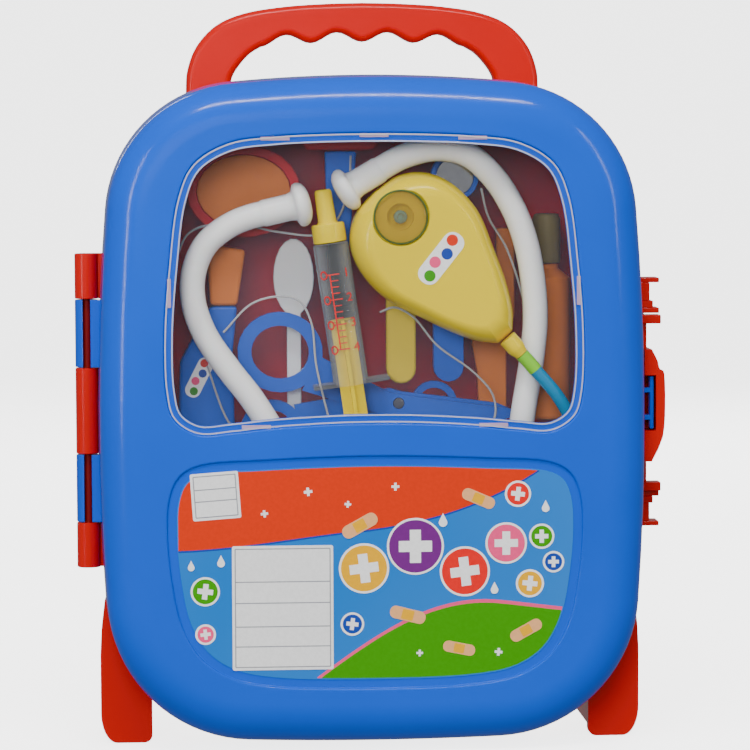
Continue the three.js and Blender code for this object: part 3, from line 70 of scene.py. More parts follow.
def span(node: str, axis: int) -> Span:
    """Gives how far a node reaches along one axis.

    Args:
        node: The node's name.
        axis: 0 for x, 1 for y and 2 for z.

    Returns:
        Lowest and highest value in case millimetres.
    """
    shift = MIDDLE if axis == 2 else 0.0
    low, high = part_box(node)
    return low[axis] / MM - shift, high[axis] / MM - shift


def place(x: float, y: float, z: float) -> Vector:
    """Turns case millimetres into the frame's metres."""
    return Vector((x, y, z + MIDDLE)) * MM


class Mode(Enum):
    """How one solid changes another."""

    CUT = "DIFFERENCE"
    FUSE = "UNION"
    KEEP = "INTERSECT"


class Body(Enum):
    """The rigid bodies that the pieces ride on."""

    CASE = "case"
    COVER = "cover"
    LATCH = "latch"
    HANDLE = "handle"
    LEFT_WHEEL = "left_wheel"
    RIGHT_WHEEL = "right_wheel"
    PLUNGER = "plunger"
    SCISSOR = "scissor_half"


# Outlines in x and z


def arc(centre: Point, radius: float, start: float, end: float, steps: int) -> list[Point]:
    """Gives points along an arc between two angles in radians, without its last point."""
    turns = [start + (end - start) * i / steps for i in range(steps)]
    return [(centre[0] + radius * math.cos(t), centre[1] + radius * math.sin(t)) for t in turns]


def oval(centre: Point, half_x: float, half_z: float, steps: int = 48) -> list[Point]:
    """Gives a closed oval, counter-clockwise."""
    turns = [2 * HALF_TURN * i / steps for i in range(steps)]
    return [(centre[0] + half_x * math.cos(t), centre[1] + half_z * math.sin(t)) for t in turns]


def rounded(half_x: float, low: float, high: float, radius: float, steps: int = 6) -> list[Point]:
    """Gives a rectangle with round corners, centred on x = 0.

    Args:
        half_x: Half its width.
        low: Its lower edge.
        high: Its upper edge.
        radius: The corners' radius.
        steps: Points on each corner.

    Returns:
        The outline, counter-clockwise.
    """
    corners = [(half_x - radius, low + radius, -1), (half_x - radius, high - radius, 0),
               (radius - half_x, high - radius, 1), (radius - half_x, low + radius, 2)]
    return [point for x, z, quarter in corners
            for point in arc((x, z), radius, quarter * QUARTER_TURN, (quarter + 1) * QUARTER_TURN,
                             steps) + arc((x, z), radius, (quarter + 1) * QUARTER_TURN, 0, 1)]


def moved(points: Sequence[Point], centre: Point, turn: float = 0.0, size: float = 1.0) -> list[Point]:
    """Scales, turns and shifts an outline."""
    cos, sin = math.cos(turn) * size, math.sin(turn) * size
    return [(centre[0] + x * cos - z * sin, centre[1] + x * sin + z * cos) for x, z in points]


def offset(points: Sequence[Point], distance: float) -> list[Point]:
    """Moves each point of a counter-clockwise outline outwards along its own normal.

    Args:
        points: The outline.
        distance: How far out, or in where it is below 0.

    Returns:
        The new outline.
    """
    result = []
    for i, (x, z) in enumerate(points):
        before, after = points[i - 1], points[(i + 1) % len(points)]
        dx, dz = after[0] - before[0], after[1] - before[1]
        length = math.hypot(dx, dz) or 1.0
        result.append((x + dz / length * distance, z - dx / length * distance))
    return result


def smooth(points: Sequence[Sequence[float]], closed: bool, steps: int) -> list[tuple[float, ...]]:
    """Draws a centripetal Catmull-Rom curve through points of any dimension.

    Args:
        points: The points it passes through.
        closed: Whether it returns to its start.
        steps: Points on each stretch.

    Returns:
        The curve's points; an open curve keeps its last point.
    """
    vectors = [Vector(point) for point in points]
    count = len(vectors)
    result = []
    for i in range(count if closed else count - 1):
        p1, p2 = vectors[i], vectors[(i + 1) % count]
        p0 = vectors[i - 1] if closed or i else p1 * 2 - p2
        p3 = vectors[(i + 2) % count] if closed or i + 2 < count else p2 * 2 - p1
        knots = [0.0]
        for a, b in ((p0, p1), (p1, p2), (p2, p3)):
            knots.append(knots[-1] + max((b - a).length, 1e-9) ** 0.5)
        k0, k1, k2, k3 = knots
        for step in range(steps):
            t = k1 + (k2 - k1) * step / steps
            a1 = (p0 * (k1 - t) + p1 * (t - k0)) / (k1 - k0)
            a2 = (p1 * (k2 - t) + p2 * (t - k1)) / (k2 - k1)
            a3 = (p2 * (k3 - t) + p3 * (t - k2)) / (k3 - k2)
            b1 = (a1 * (k2 - t) + a2 * (t - k0)) / (k2 - k0)
            b2 = (a2 * (k3 - t) + a3 * (t - k1)) / (k3 - k1)
            result.append(tuple((b1 * (k2 - t) + b2 * (t - k1)) / (k2 - k1)))
    if not closed:
        result.append(tuple(vectors[-1]))
    return result


def mirrored(half: Sequence[Point], steps: int) -> list[Point]:
    """Draws a smooth closed outline through a left half, from top to foot, and its mirror image."""
    return smooth([*half, *[(-x, z) for x, z in reversed(half[1:-1])]], True, steps)


@dataclass(frozen=True)
class CaseOutline:
    """Squarish outline of the case with bowed sides."""

    half_width: float = 115.0
    half_height: float = 140.0
    side_bow: float = 1100.0
    top_bow: float = 630.0
    foot_bow: float = 1500.0
    top_corner: float = 58.0
    foot_corner: float = 62.0
    widest_drop: float = 6.0
    bow_steps: int = 8
    corner_steps: int = 18

    def meet(self, a: Point, radius_a: float, b: Point, radius_b: float, upper: bool) -> Point:
        """Gives the crossing of two circles that is highest or lowest.

        Args:
            a: Centre of the first circle.
            radius_a: Its radius.
            b: Centre of the second circle.
            radius_b: Its radius.
            upper: Whether the highest crossing is asked for.

        Returns:
            The crossing.
        """
        dx, dz = b[0] - a[0], b[1] - a[1]
        gap = math.hypot(dx, dz)
        along = (radius_a ** 2 - radius_b ** 2 + gap ** 2) / (2 * gap)
        off = math.sqrt(radius_a ** 2 - along ** 2)
        crossings = [(a[0] + (dx * along - side * dz * off) / gap,
                      a[1] + (dz * along + side * dx * off) / gap) for side in (-1, 1)]
        return (max if upper else min)(crossings, key=lambda point: point[1])

    def points(self, inset: float = 0.0) -> list[Point]:
        """Gives the outline, counter-clockwise, with every arc drawn in by an inset.

        Args:
            inset: How far inside the case's edge it runs.

        Returns:
            The outline.
        """
        side = (self.half_width - self.side_bow, -self.widest_drop)
        top = (0.0, self.half_height - self.top_bow)
        foot = (0.0, self.foot_bow - self.half_height)
        upper = self.meet(side, self.side_bow - self.top_corner,
                          top, self.top_bow - self.top_corner, True)
        lower = self.meet(side, self.side_bow - self.foot_corner,
                          foot, self.foot_bow - self.foot_corner, False)

        def angle(start: Point, end: Point) -> float:
            """Gives the direction from one point to another."""
            return math.atan2(end[1] - start[1], end[0] - start[0])

        turns = [-QUARTER_TURN, angle(foot, lower), angle(side, lower),
                 angle(side, upper), angle(top, upper), QUARTER_TURN]
        arcs = [(foot, self.foot_bow, self.bow_steps), (lower, self.foot_corner, self.corner_steps),
                (side, self.side_bow, self.bow_steps), (upper, self.top_corner, self.corner_steps),
                (top, self.top_bow, self.bow_steps)]
        half = [point for i, (centre, radius, steps) in enumerate(arcs)
                for point in arc(centre, radius - inset, turns[i], turns[i + 1], steps)]
        return half + [(0.0, self.half_height - inset)] + [(-x, z) for x, z in reversed(half[1:])]


CASE = CaseOutline()


# Modelling


def deselect() -> None:
    """Leaves nothing selected."""
    if bpy.context.object and bpy.context.object.mode != "OBJECT":
        bpy.ops.object.mode_set(mode="OBJECT")
    bpy.ops.object.select_all(action="DESELECT")


def activate(piece: Piece) -> None:
    """Selects one object alone and makes it the active one.

    Args:
        piece: The object.
    """
    deselect()
    piece.select_set(True)
    bpy.context.view_layer.objects.active = piece


def settle(piece: Piece, weld: float = 1e-6) -> Piece:
    """Merges doubles and turns the faces of a closed mesh outwards.

    Args:
        piece: A closed mesh.
        weld: Points nearer than this are merged, in metres.

    Returns:
        The same piece.
    """
    activate(piece)
    bpy.ops.object.mode_set(mode="EDIT")
    bpy.ops.mesh.select_all(action="SELECT")
    bpy.ops.mesh.remove_doubles(threshold=weld)
    bpy.ops.mesh.normals_make_consistent(inside=False)
    bpy.ops.object.mode_set(mode="OBJECT")
    return piece


def loft(name: str, rings: Sequence[Sequence[Vector]]) -> Piece:
    """Extrudes a ring edge by edge through a list of rings and closes both ends.

    Args:
        name: Its name.
        rings: Rings of equal counts, in metres.

    Returns:
        The closed piece.
    """
    deselect()
    bpy.ops.mesh.primitive_circle_add(vertices=len(rings[0]), radius=MM)
    piece = bpy.context.active_object
    piece.name = name
    for vertex, point in zip(piece.data.vertices, rings[0]):
        vertex.co = point
    bpy.ops.object.mode_set(mode="EDIT")
    bpy.ops.mesh.select_mode(type="VERT")
    bpy.ops.mesh.select_all(action="SELECT")
    last = {i: i for i in range(len(rings[0]))}
    count = len(rings[0])
    for ring in rings[1:]:
        bpy.ops.mesh.extrude_edges_move()
        cage = bmesh.from_edit_mesh(piece.data)
        cage.verts.ensure_lookup_table()
        places = {tuple(round(c, 7) for c in cage.verts[index].co): i for i, index in last.items()}
        fresh = [vertex for vertex in cage.verts if vertex.select]
        last = {}
        for vertex in fresh:
            last[places[tuple(round(c, 7) for c in vertex.co)]] = vertex.index
        for i, index in last.items():
            cage.verts[index].co = ring[i]
        bmesh.update_edit_mesh(piece.data)
    bpy.ops.mesh.edge_face_add()
    bpy.ops.mesh.select_all(action="DESELECT")
    cage = bmesh.from_edit_mesh(piece.data)
    cage.verts.ensure_lookup_table()
    for vertex in cage.verts[:count]:
        vertex.select_set(True)
    cage.select_flush(True)
    bmesh.update_edit_mesh(piece.data)
    bpy.ops.mesh.edge_face_add()
    bpy.ops.mesh.select_all(action="SELECT")
    bpy.ops.mesh.normals_make_consistent(inside=False)
    bpy.ops.object.mode_set(mode="OBJECT")
    return piece


def stack(name: str, levels: Iterable[tuple[Sequence[Point], float]]) -> Piece:
    """Lofts outlines that each lie flat at one y."""
    return loft(name, [[place(x, y, z) for x, z in outline] for outline, y in levels])


def slab(name: str, outline: Sequence[Point], low: float, high: float, fillet: float = 0.0,
         steps: int = 4) -> Piece:
    """Makes a plate from an outline, with both its edges rounded by a fillet.

    Args:
        name: Its name.
        outline: Its edge, counter-clockwise.
        low: The y of its front.
        high: The y of its back.
        fillet: Radius of its rounded edges.
        steps: Steps on each rounded edge.

    Returns:
        The closed plate.
    """
    if not fillet:
        return stack(name, [(outline, low), (outline, high)])
    turns = [QUARTER_TURN * i / steps for i in range(steps + 1)]
    near = [(offset(outline, -fillet * (1 - math.sin(t))), low + fillet * (1 - math.cos(t)))
            for t in turns]
    far = [(outline_at, low + high - y) for outline_at, y in reversed(near)]
    return stack(name, near + far)


def block(name: str, x: Span, y: Span, z: Span, bevel: float = 0.0) -> Piece:
    """Makes a box between three spans, its edges rounded by a bevel.

    Args:
        name: Its name.
        x: Its reach along x.
        y: Its reach along y.
        z: Its reach along z.
        bevel: Width of its rounded edges.

    Returns:
        The closed box.
    """
    deselect()
    bpy.ops.mesh.primitive_cube_add(size=1)
    piece = bpy.context.active_object
    piece.name = name
    corner, far = place(x[0], y[0], z[0]), place(x[1], y[1], z[1])
    piece.data.transform(Matrix.Diagonal((*(far - corner), 1)))
    piece.data.transform(Matrix.Translation((corner + far) / 2))
    if bevel:
        bpy.ops.object.mode_set(mode="EDIT")
        bpy.ops.mesh.select_all(action="SELECT")
        bpy.ops.mesh.bevel(offset=bevel * MM, segments=3, affect="EDGES")
        bpy.ops.object.mode_set(mode="OBJECT")
    return piece


def turned(name: str, profile: Sequence[Point], matrix: Matrix, sides: int = 48) -> Piece:
    """Makes a turned piece from points of (radius, distance along the matrix's +Z)."""
    return loft(name, [[matrix @ Vector((x, z, along)) for x, z in oval((0, 0), radius, radius, sides)]
                       for radius, along in profile])


def axis_matrix(at: Vector, along: Sequence[float]) -> Matrix:
    """Gives the matrix that puts local millimetres at a place, with +Z along a direction."""
    turn = Vector(along).to_track_quat("Z", "Y").to_matrix().to_4x4()
    return Matrix.Translation(at) @ turn @ Matrix.Scale(MM, 4)


def rod(name: str, radius: float, at: Vector, along: Sequence[float], reach: Span,
        fillet: float = 0.0, sides: int = 48) -> Piece:
    """Makes a round bar between two distances along its axis.

    Args:
        name: Its name.
        radius: Its radius.
        at: A place on its axis, in metres.
        along: Its axis's direction.
        reach: Where it starts and ends on the axis.
        fillet: Bevel at both ends.
        sides: Points on each ring.

    Returns:
        The closed bar.
    """
    low, high = reach
    profile = [(radius, low), (radius, high)]
    if fillet:
        profile = [(radius - fillet, low), (radius, low + fillet), (radius, high - fillet),
                   (radius - fillet, high)]
    return turned(name, profile, axis_matrix(at, along), sides)


def linked(name: str, data: bpy.types.ID) -> Piece:
    """Puts an object with its data in the scene.

    Args:
        name: The object's name.
        data: Its mesh, curve, lamp or camera.

    Returns:
        The object.
    """
    piece = bpy.data.objects.new(name, data)
    bpy.context.scene.collection.objects.link(piece)
    return piece


def tube(name: str, points: Sequence[Vector], radius: float, steps: int = 8,
         resolution: int = 6) -> Piece:
    """Makes a round closed tube on a smooth curve through points in metres.

    Args:
        name: Its name.
        points: Places that its middle passes.
        radius: Its radius.
        steps: Points on each stretch.
        resolution: Roundness of its section.

    Returns:
        The closed tube.
    """
    route = smooth(points, False, steps)
    data = bpy.data.curves.new(name, "CURVE")
    data.dimensions = "3D"
    spline = data.splines.new("POLY")
    spline.points.add(len(route) - 1)
    for knot, point in zip(spline.points, route):
        knot.co = (*point, 1)
    data.bevel_depth = radius * MM
    data.bevel_resolution = resolution
    data.use_fill_caps = True
    activate(linked(name, data))
    bpy.ops.object.convert(target="MESH")
    return settle(bpy.context.active_object)


def gather(pieces: Sequence[Piece]) -> Piece:
    """Joins separate objects into one, which keeps the first one's name.

    Args:
        pieces: One object or more.

    Returns:
        The first object, with the others in it.
    """
    activate(pieces[0])
    for piece in pieces[1:]:
        piece.select_set(True)
    if len(pieces) > 1:
        bpy.ops.object.join()
    return pieces[0]


def combine(piece: Piece, mode: Mode, *tools: Piece) -> Piece:
    """Applies one boolean for each tool, in order, and deletes the tools.

    Args:
        piece: The solid that changes.
        mode: How each tool changes it.
        tools: Solids that are used up.

    Returns:
        The same piece.
    """
    for tool in tools:
        modifier = piece.modifiers.new("combine", "BOOLEAN")
        modifier.operation = mode.value
        modifier.solver = "MANIFOLD"
        modifier.object = tool
        activate(piece)
        bpy.ops.object.modifier_apply(modifier=modifier.name)
        bpy.data.objects.remove(tool)
    return piece


def bevelled(piece: Piece, width: float, segments: int = 3, angle: float = 35.0) -> Piece:
    """Rounds a piece's sharp edges and applies the modifier.

    Args:
        piece: The piece.
        width: Width of the rounding.
        segments: Faces across it.
        angle: Flatter edges stay as they are, in degrees.

    Returns:
        The same piece.
    """
    modifier = piece.modifiers.new("round", "BEVEL")
    modifier.width = width * MM
    modifier.segments = segments
    modifier.limit_method = "ANGLE"
    modifier.angle_limit = math.radians(angle)
    modifier.use_clamp_overlap = True
    activate(piece)
    bpy.ops.object.modifier_apply(modifier=modifier.name)
    return piece


def softened(node: str, width: float) -> Piece:
    """Copies a node's mesh, merges it, joins its flat faces and rounds its sharp edges.

    Args:
        node: The node's name.
        width: Width of the rounding.

    Returns:
        The new piece.
    """
    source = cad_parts[node]
    piece = settle(linked(f"{node}_moulding", source.data.copy()))
    bpy.ops.object.mode_set(mode="EDIT")
    bpy.ops.mesh.select_all(action="SELECT")
    bpy.ops.mesh.dissolve_limited(angle_limit=math.radians(1.0))
    bpy.ops.object.mode_set(mode="OBJECT")
    return bevelled(piece, width)


# Finishes


class Nodes:
    """Builds a material's node tree round one Principled shader."""

    def __init__(self, name: str) -> None:
        """Starts a material with its Principled shader and object coordinates.

        Args:
            name: The material's name.
        """
        self.material = bpy.data.materials.new(name)
        self.material.use_nodes = True
        self.tree = self.material.node_tree
        self.shader = self.tree.nodes["Principled BSDF"]
        self.place = self.tree.nodes.new("ShaderNodeTexCoord").outputs["Object"]

    def add(self, kind: str, **values: object) -> bpy.types.Node:
        """Adds a node, with inputs set by name and settings by attribute.

        Args:
            kind: The node's type, without its prefix.
            values: What its inputs and settings get.

        Returns:
            The node.
        """
        node = self.tree.nodes.new(f"ShaderNode{kind}")
        for key, value in values.items():
            name = key.replace("_", " ").title() if key.islower() else key
            if name in node.inputs:
                if isinstance(value, Socket):
                    self.tree.links.new(value, node.inputs[name])
                else:
                    node.inputs[name].default_value = value
            else:
                setattr(node, key, value)
        return node

    def noise(self, scale: float, detail: float = 2.0) -> Socket:
        """Gives noise on object coordinates, at a scale in features to the metre.

        Args:
            scale: Features to the metre.
            detail: Octaves of finer noise.

        Returns:
            The noise, from 0 to 1.
        """
        node = self.add("TexNoise", scale=scale, detail=detail)
        self.tree.links.new(self.place, node.inputs["Vector"])
        return node.outputs["Fac"]

    def ramp(self, source: Socket, stops: Sequence[tuple[float, Colour]]) -> Socket:
        """Gives a colour ramp through stops of (place, colour).

        Args:
            source: What picks the colour.
            stops: Pairs of place and colour.

        Returns:
            The colour.
        """
        node = self.add("ValToRGB")
        ramp = node.color_ramp
        while len(ramp.elements) < len(stops):
            ramp.elements.new(0.5)
        for element, (at, colour) in zip(ramp.elements, stops):
            element.position = at
            element.color = (*colour, 1.0)
        self.tree.links.new(source, node.inputs["Fac"])
        return node.outputs["Color"]

    def stretch(self, source: Socket, low: float, high: float) -> Socket:
        """Gives a value from 0 to 1 spread between two others.

        Args:
            source: A value from 0 to 1.
            low: What 0 becomes.
            high: What 1 becomes.

        Returns:
            The spread value.
        """
        node = self.add("MapRange")
        node.inputs["To Min"].default_value = low
        node.inputs["To Max"].default_value = high
        self.tree.links.new(source, node.inputs["Value"])
        return node.outputs["Result"]

    def bump(self, layers: Sequence[tuple[Socket, float]]) -> None:
        """Stacks bumps of (height, depth in metres) under the shader's normal.

        Args:
            layers: Pairs of height and depth.
        """
        normal = None
        for height, depth in layers:
            node = self.add("Bump", strength=1.0, distance=depth, height=height)
            if normal:
                self.tree.links.new(normal, node.inputs["Normal"])
            normal = node.outputs["Normal"]
        self.tree.links.new(normal, self.shader.inputs["Normal"])

    def feed(self, name: str, source: Socket) -> None:
        """Links a socket to one of the shader's inputs."""
        self.tree.links.new(source, self.shader.inputs[name])

    def fix(self, **values: object) -> None:
        """Sets constants on the shader's own sockets, named by their words."""
        for key, value in values.items():
            self.shader.inputs[key.replace("_", " ")].default_value = value


@dataclass(frozen=True)
class Moulded:
    """Injection-moulded plastic: an even colour, a little sink and a fine orange peel."""

    name: str
    slot: str
    colour: Colour
    roughness: float = 0.22
    coat: float = 0.0
    peel: float = 0.000012
    sink: float = 0.00012
    glow: float = 0.0

    def make(self) -> bpy.types.Material:
        """Builds the material.

        Returns:
            The new material.
        """
        nodes = Nodes(self.name)
        darker = tuple(channel * 0.9 for channel in self.colour)
        nodes.feed("Base Color", nodes.ramp(nodes.noise(14.0, 3.0), [(0.3, darker), (0.7, self.colour)]))
        low, high = self.roughness * 0.8, self.roughness * 1.3
        nodes.feed("Roughness", nodes.stretch(nodes.noise(160.0, 4.0), low, high))
        nodes.bump([(nodes.noise(24.0, 1.0), self.sink), (nodes.noise(1400.0, 1.0), self.peel)])
        nodes.fix(IOR=1.5, Specular_IOR_Level=0.4, Coat_Weight=self.coat, Coat_Roughness=0.06)
        if self.glow:
            nodes.fix(Subsurface_Weight=self.glow, Subsurface_Scale=0.004)
        return nodes.material


@dataclass(frozen=True)
class Clear:
    """See-through plastic: thin to look through, denser towards its edges, with slow waves."""

    name: str
    slot: str
    tint: Colour
    facing: float
    edge: float = 0.6
    roughness: float = 0.05
    wave: float = 0.00012
    gloss: float = 1.6

    def make(self) -> bpy.types.Material:
        """Builds the material.

        Returns:
            The new material.
        """
        nodes = Nodes(self.name)
        nodes.fix(Base_Color=(*self.tint, 1.0), Roughness=self.roughness, IOR=self.gloss)
        weight = nodes.add("LayerWeight", blend=0.3)
        nodes.feed("Alpha", nodes.stretch(weight.outputs["Facing"], self.facing, self.edge))
        nodes.bump([(nodes.noise(30.0, 2.0), self.wave)])
        nodes.material.surface_render_method = "BLENDED"
        return nodes.material


@dataclass(frozen=True)
class Metal:
    """Plated or ground steel."""

    name: str
    slot: str
    colour: Colour
    roughness: float = 0.3

    def make(self) -> bpy.types.Material:
        """Builds the material.

        Returns:
            The new material.
        """
        nodes = Nodes(self.name)
        dull = tuple(channel * 0.8 for channel in self.colour)
        nodes.feed("Base Color", nodes.ramp(nodes.noise(300.0, 4.0), [(0.3, dull), (0.7, self.colour)]))
        nodes.feed("Roughness", nodes.stretch(nodes.noise(500.0), self.roughness * 0.7,
                                              self.roughness * 1.4))
        nodes.fix(Metallic=1.0)
        nodes.bump([(nodes.noise(900.0), 0.00001)])
        return nodes.material


@dataclass(frozen=True)
class Printed:
    """Ink or paper under a thin gloss, with a fine grain in its colour."""

    name: str
    colour: Colour
    roughness: float = 0.35
    pale: float = 0.0
    slot: str = "printed_label"

    def make(self) -> bpy.types.Material:
        """Builds the material.

        Returns:
            The new material.
        """
        nodes = Nodes(self.name)
        light = tuple(channel + (1 - channel) * self.pale for channel in self.colour)
        source = nodes.noise(9.0, 1.0) if self.pale else nodes.noise(700.0, 3.0)
        darker = tuple(channel * 0.94 for channel in self.colour)
        nodes.feed("Base Color", nodes.ramp(source, [(0.35, darker), (0.65, light)]))
        nodes.feed("Roughness", nodes.stretch(nodes.noise(900.0), self.roughness * 0.85,
                                              self.roughness * 1.15))
        nodes.bump([(nodes.noise(60.0, 2.0), 0.00003)])
        nodes.fix(Specular_IOR_Level=0.3)
        return nodes.material


class Finish(Enum):
    """Every finish of the case."""

    BLUE = Moulded("case_blue", "blue_plastic", (0.0, 0.092, 0.68), 0.14)
    RED = Moulded("case_red", "red_plastic", (0.62, 0.002, 0.0005), 0.2)
    DARK_RED = Moulded("wheel_red", "wheel_plastic", (0.16, 0.010, 0.007), 0.5)
    # The hinge pin is the shell's own red plastic; its darker red is painted shade for the shadow
    # between the knuckles.
    PIN_RED = Moulded("pin_red_painted_shade", "pin_plastic", (0.22, 0.006, 0.003), 0.4)
    WHITE = Moulded("tube_white", "white_plastic", (0.93, 0.93, 0.92), 0.25, 0.1, glow=0.1)
    YELLOW = Moulded("toy_yellow", "yellow_plastic", (0.86, 0.64, 0.0), 0.16)
    TOY_BLUE = Moulded("toy_blue", "toy_blue", (0.0, 0.10, 0.62), 0.3)
    AMBER = Moulded("toy_amber", "toy_amber", (0.74, 0.19, 0.0), 0.3)
    OLIVE = Moulded("cap_olive", "toy_olive", (0.22, 0.17, 0.04), 0.4)
    TEAL = Moulded("lamp_teal", "teal_plastic", (0.02, 0.34, 0.32), 0.3, 0.25)
    RIM_GREEN = Moulded("lens_rim", "lens_plastic", (0.05, 0.12, 0.02), 0.2, 0.25)
    RUBBER = Moulded("piston_black", "piston_rubber", (0.003, 0.003, 0.003), 0.55)
    HOSE = Clear("hose_blue", "hose_plastic", (0.0, 0.28, 0.55), 0.72, 0.97, 0.15, 0.0001, 1.5)
    LIME = Moulded("hose_lime", "hose_plastic", (0.22, 0.62, 0.02), 0.2)
    LENS = Clear("lens_olive", "lens_plastic", (0.40, 0.22, 0.05), 0.2, 0.85, 0.06, 0.0, 1.7)
    WINDOW = Clear("window_clear", "window_clear", (0.42, 0.47, 0.54), 0.01, 0.22, 0.03, 0.0001, 1.9)
    # Painted highlight: white see-through lines that stand for light caught on the pane's edge.
    RIM = Clear("window_rim_painted_highlight", "window_clear", (1.0, 1.0, 1.0), 0.32, 0.9, 0.05, 0.0, 2.0)
    # Painted glint: the clear tabs get a pale pink tint for the light they catch.
    TAB = Clear("window_tab_painted_glint", "window_clear", (0.92, 0.62, 0.70), 0.5, 0.8, 0.08, 0.0, 1.6)
    TRAY = Clear("tray_clear", "tray_clear", (0.45, 0.46, 0.66), 0.04, 0.5, 0.12, 0.0005, 1.6)
    # Painted highlight: white see-through beads that stand for light caught on the tray's pocket edges.
    BEAD = Clear("tray_bead_painted_highlight", "tray_clear", (1.0, 1.0, 1.0), 0.3, 0.85, 0.05, 0.0, 2.0)
    BARREL = Clear("barrel_clear", "barrel_clear", (0.60, 0.62, 0.66), 0.05, 0.6, 0.04, 0.0, 1.9)
    STEEL = Metal("screw_steel", "steel", (0.62, 0.63, 0.65))
    MIRROR = Metal("mirror_foil", "mirror_foil", (0.8, 0.82, 0.85), 0.08)
    PAPER = Printed("sticker_paper", (0.90, 0.90, 0.90), 0.5, slot="white_paper")
    CYAN = Printed("ink_cyan", (0.0, 0.17, 0.60), pale=0.02)
    ORANGE = Printed("ink_orange", (0.70, 0.028, 0.0))
    GREEN = Printed("ink_green", (0.04, 0.30, 0.0))
    PINK = Printed("ink_pink", (0.90, 0.07, 0.22))
    PURPLE = Printed("ink_purple", (0.16, 0.015, 0.20))
    INK_YELLOW = Printed("ink_yellow", (0.85, 0.42, 0.0))
    INK_WHITE = Printed("ink_white", (0.94, 0.94, 0.94))
    INK_TAN = Printed("ink_tan", (0.85, 0.42, 0.18))
    INK_GREY = Printed("ink_grey", (0.30, 0.31, 0.34))
    INK_NAVY = Printed("ink_navy", (0.01, 0.05, 0.36))
    INK_RED = Printed("ink_red", (0.80, 0.012, 0.01))

    @cache
    def material(self) -> bpy.types.Material:
        """Gives the finish's material, which is made only once."""
        return self.value.make()


def dress(piece: Piece, finish: Finish, body: Body, replaces: Sequence[str] = (),
          angle: float = 38.0) -> Piece:
    """Shades, colours and attaches a finished piece.

    Args:
        piece: The closed mesh.
        finish: What it is made of.
        body: The body it rides on.
        replaces: Nodes that it stands for.
        angle: Edges sharper than this stay crisp, in degrees.

    Returns:
        The same piece.
    """
    settle(piece)
    bpy.ops.object.shade_smooth_by_angle(angle=math.radians(angle))
    modifier = piece.modifiers.new("flat faces first", "WEIGHTED_NORMAL")
    modifier.keep_sharp = True
    bpy.ops.object.modifier_apply(modifier=modifier.name)
    piece.data.materials.clear()
    piece.data.materials.append(finish.material())
    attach(piece, body.value)
    if replaces:
        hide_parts(*replaces)
    log.info("%s: %d faces on %s", piece.name, len(piece.data.polygons), body.value)
    return piece


# The case


@dataclass
class Tub:
    """Half of the case: a shell with a rounded rim at its closed end."""

    inset: float
    open_y: float
    closed_y: float
    rim_width: float
    rim_depth: float
    draft: float = 0.9
    wall: float = 2.6
    rim_steps: int = 14
    lip: float = 0.4

    def rings(self, inset: float, open_y: float, closed_y: float, lip: float) -> list:
        """Gives the levels of a tub's skin from its open end to its closed end.

        Args:
            inset: How far inside the case's edge the open end runs.
            open_y: The open end's y.
            closed_y: The closed end's y.
            lip: Bevel at the open end.

        Returns:
            Pairs of outline and y.
        """
        inwards = math.copysign(1.0, open_y - closed_y)
        levels = [(CASE.points(inset), open_y)]
        if lip:
            levels = [(CASE.points(inset + lip), open_y), (CASE.points(inset), open_y - inwards * lip)]
        for i in range(self.rim_steps + 1):
            turn = QUARTER_TURN * i / self.rim_steps
            levels.append((CASE.points(inset + self.draft + self.rim_width * (1 - math.cos(turn))),
                           closed_y + inwards * self.rim_depth * (1 - math.sin(turn))))
        return levels

    def outer(self, name: str) -> Piece:
        """Makes the filled outer form."""
        return stack(name, self.rings(self.inset, self.open_y, self.closed_y, self.lip))

    def hollow(self) -> Piece:
        """Makes the form that is cut out of it, past its open end.

        Returns:
            The solid to cut with.
        """
        inwards = math.copysign(1.0, self.open_y - self.closed_y)
        levels = self.rings(self.inset + self.wall, self.open_y, self.closed_y + inwards * self.wall, 0)
        return stack("hollow", [(levels[0][0], self.open_y + inwards * 6)] + levels[1:])


@dataclass
class Recess:
    """A sunk field with a rounded lip and a rounded foot."""

    outline: list[Point]
    surface: float
    depth: float
    lip: float = 0.7
    foot: float = 0.4
    steps: int = 4

    def tool(self) -> Piece:
        """Makes the solid that cuts it.

        Returns:
            The solid to cut with.
        """
        turns = [QUARTER_TURN * i / self.steps for i in range(self.steps + 1)]
        floor = self.surface + self.depth
        levels = [(offset(self.outline, self.lip), self.surface - 3)]
        levels += [(offset(self.outline, self.lip * (1 - math.sin(t))),
                    self.surface + self.lip * (1 - math.cos(t))) for t in turns]
        levels += [(offset(self.outline, -self.foot * (1 - math.cos(t))),
                    floor - self.foot * (1 - math.sin(t))) for t in turns]
        return stack("recess", levels)


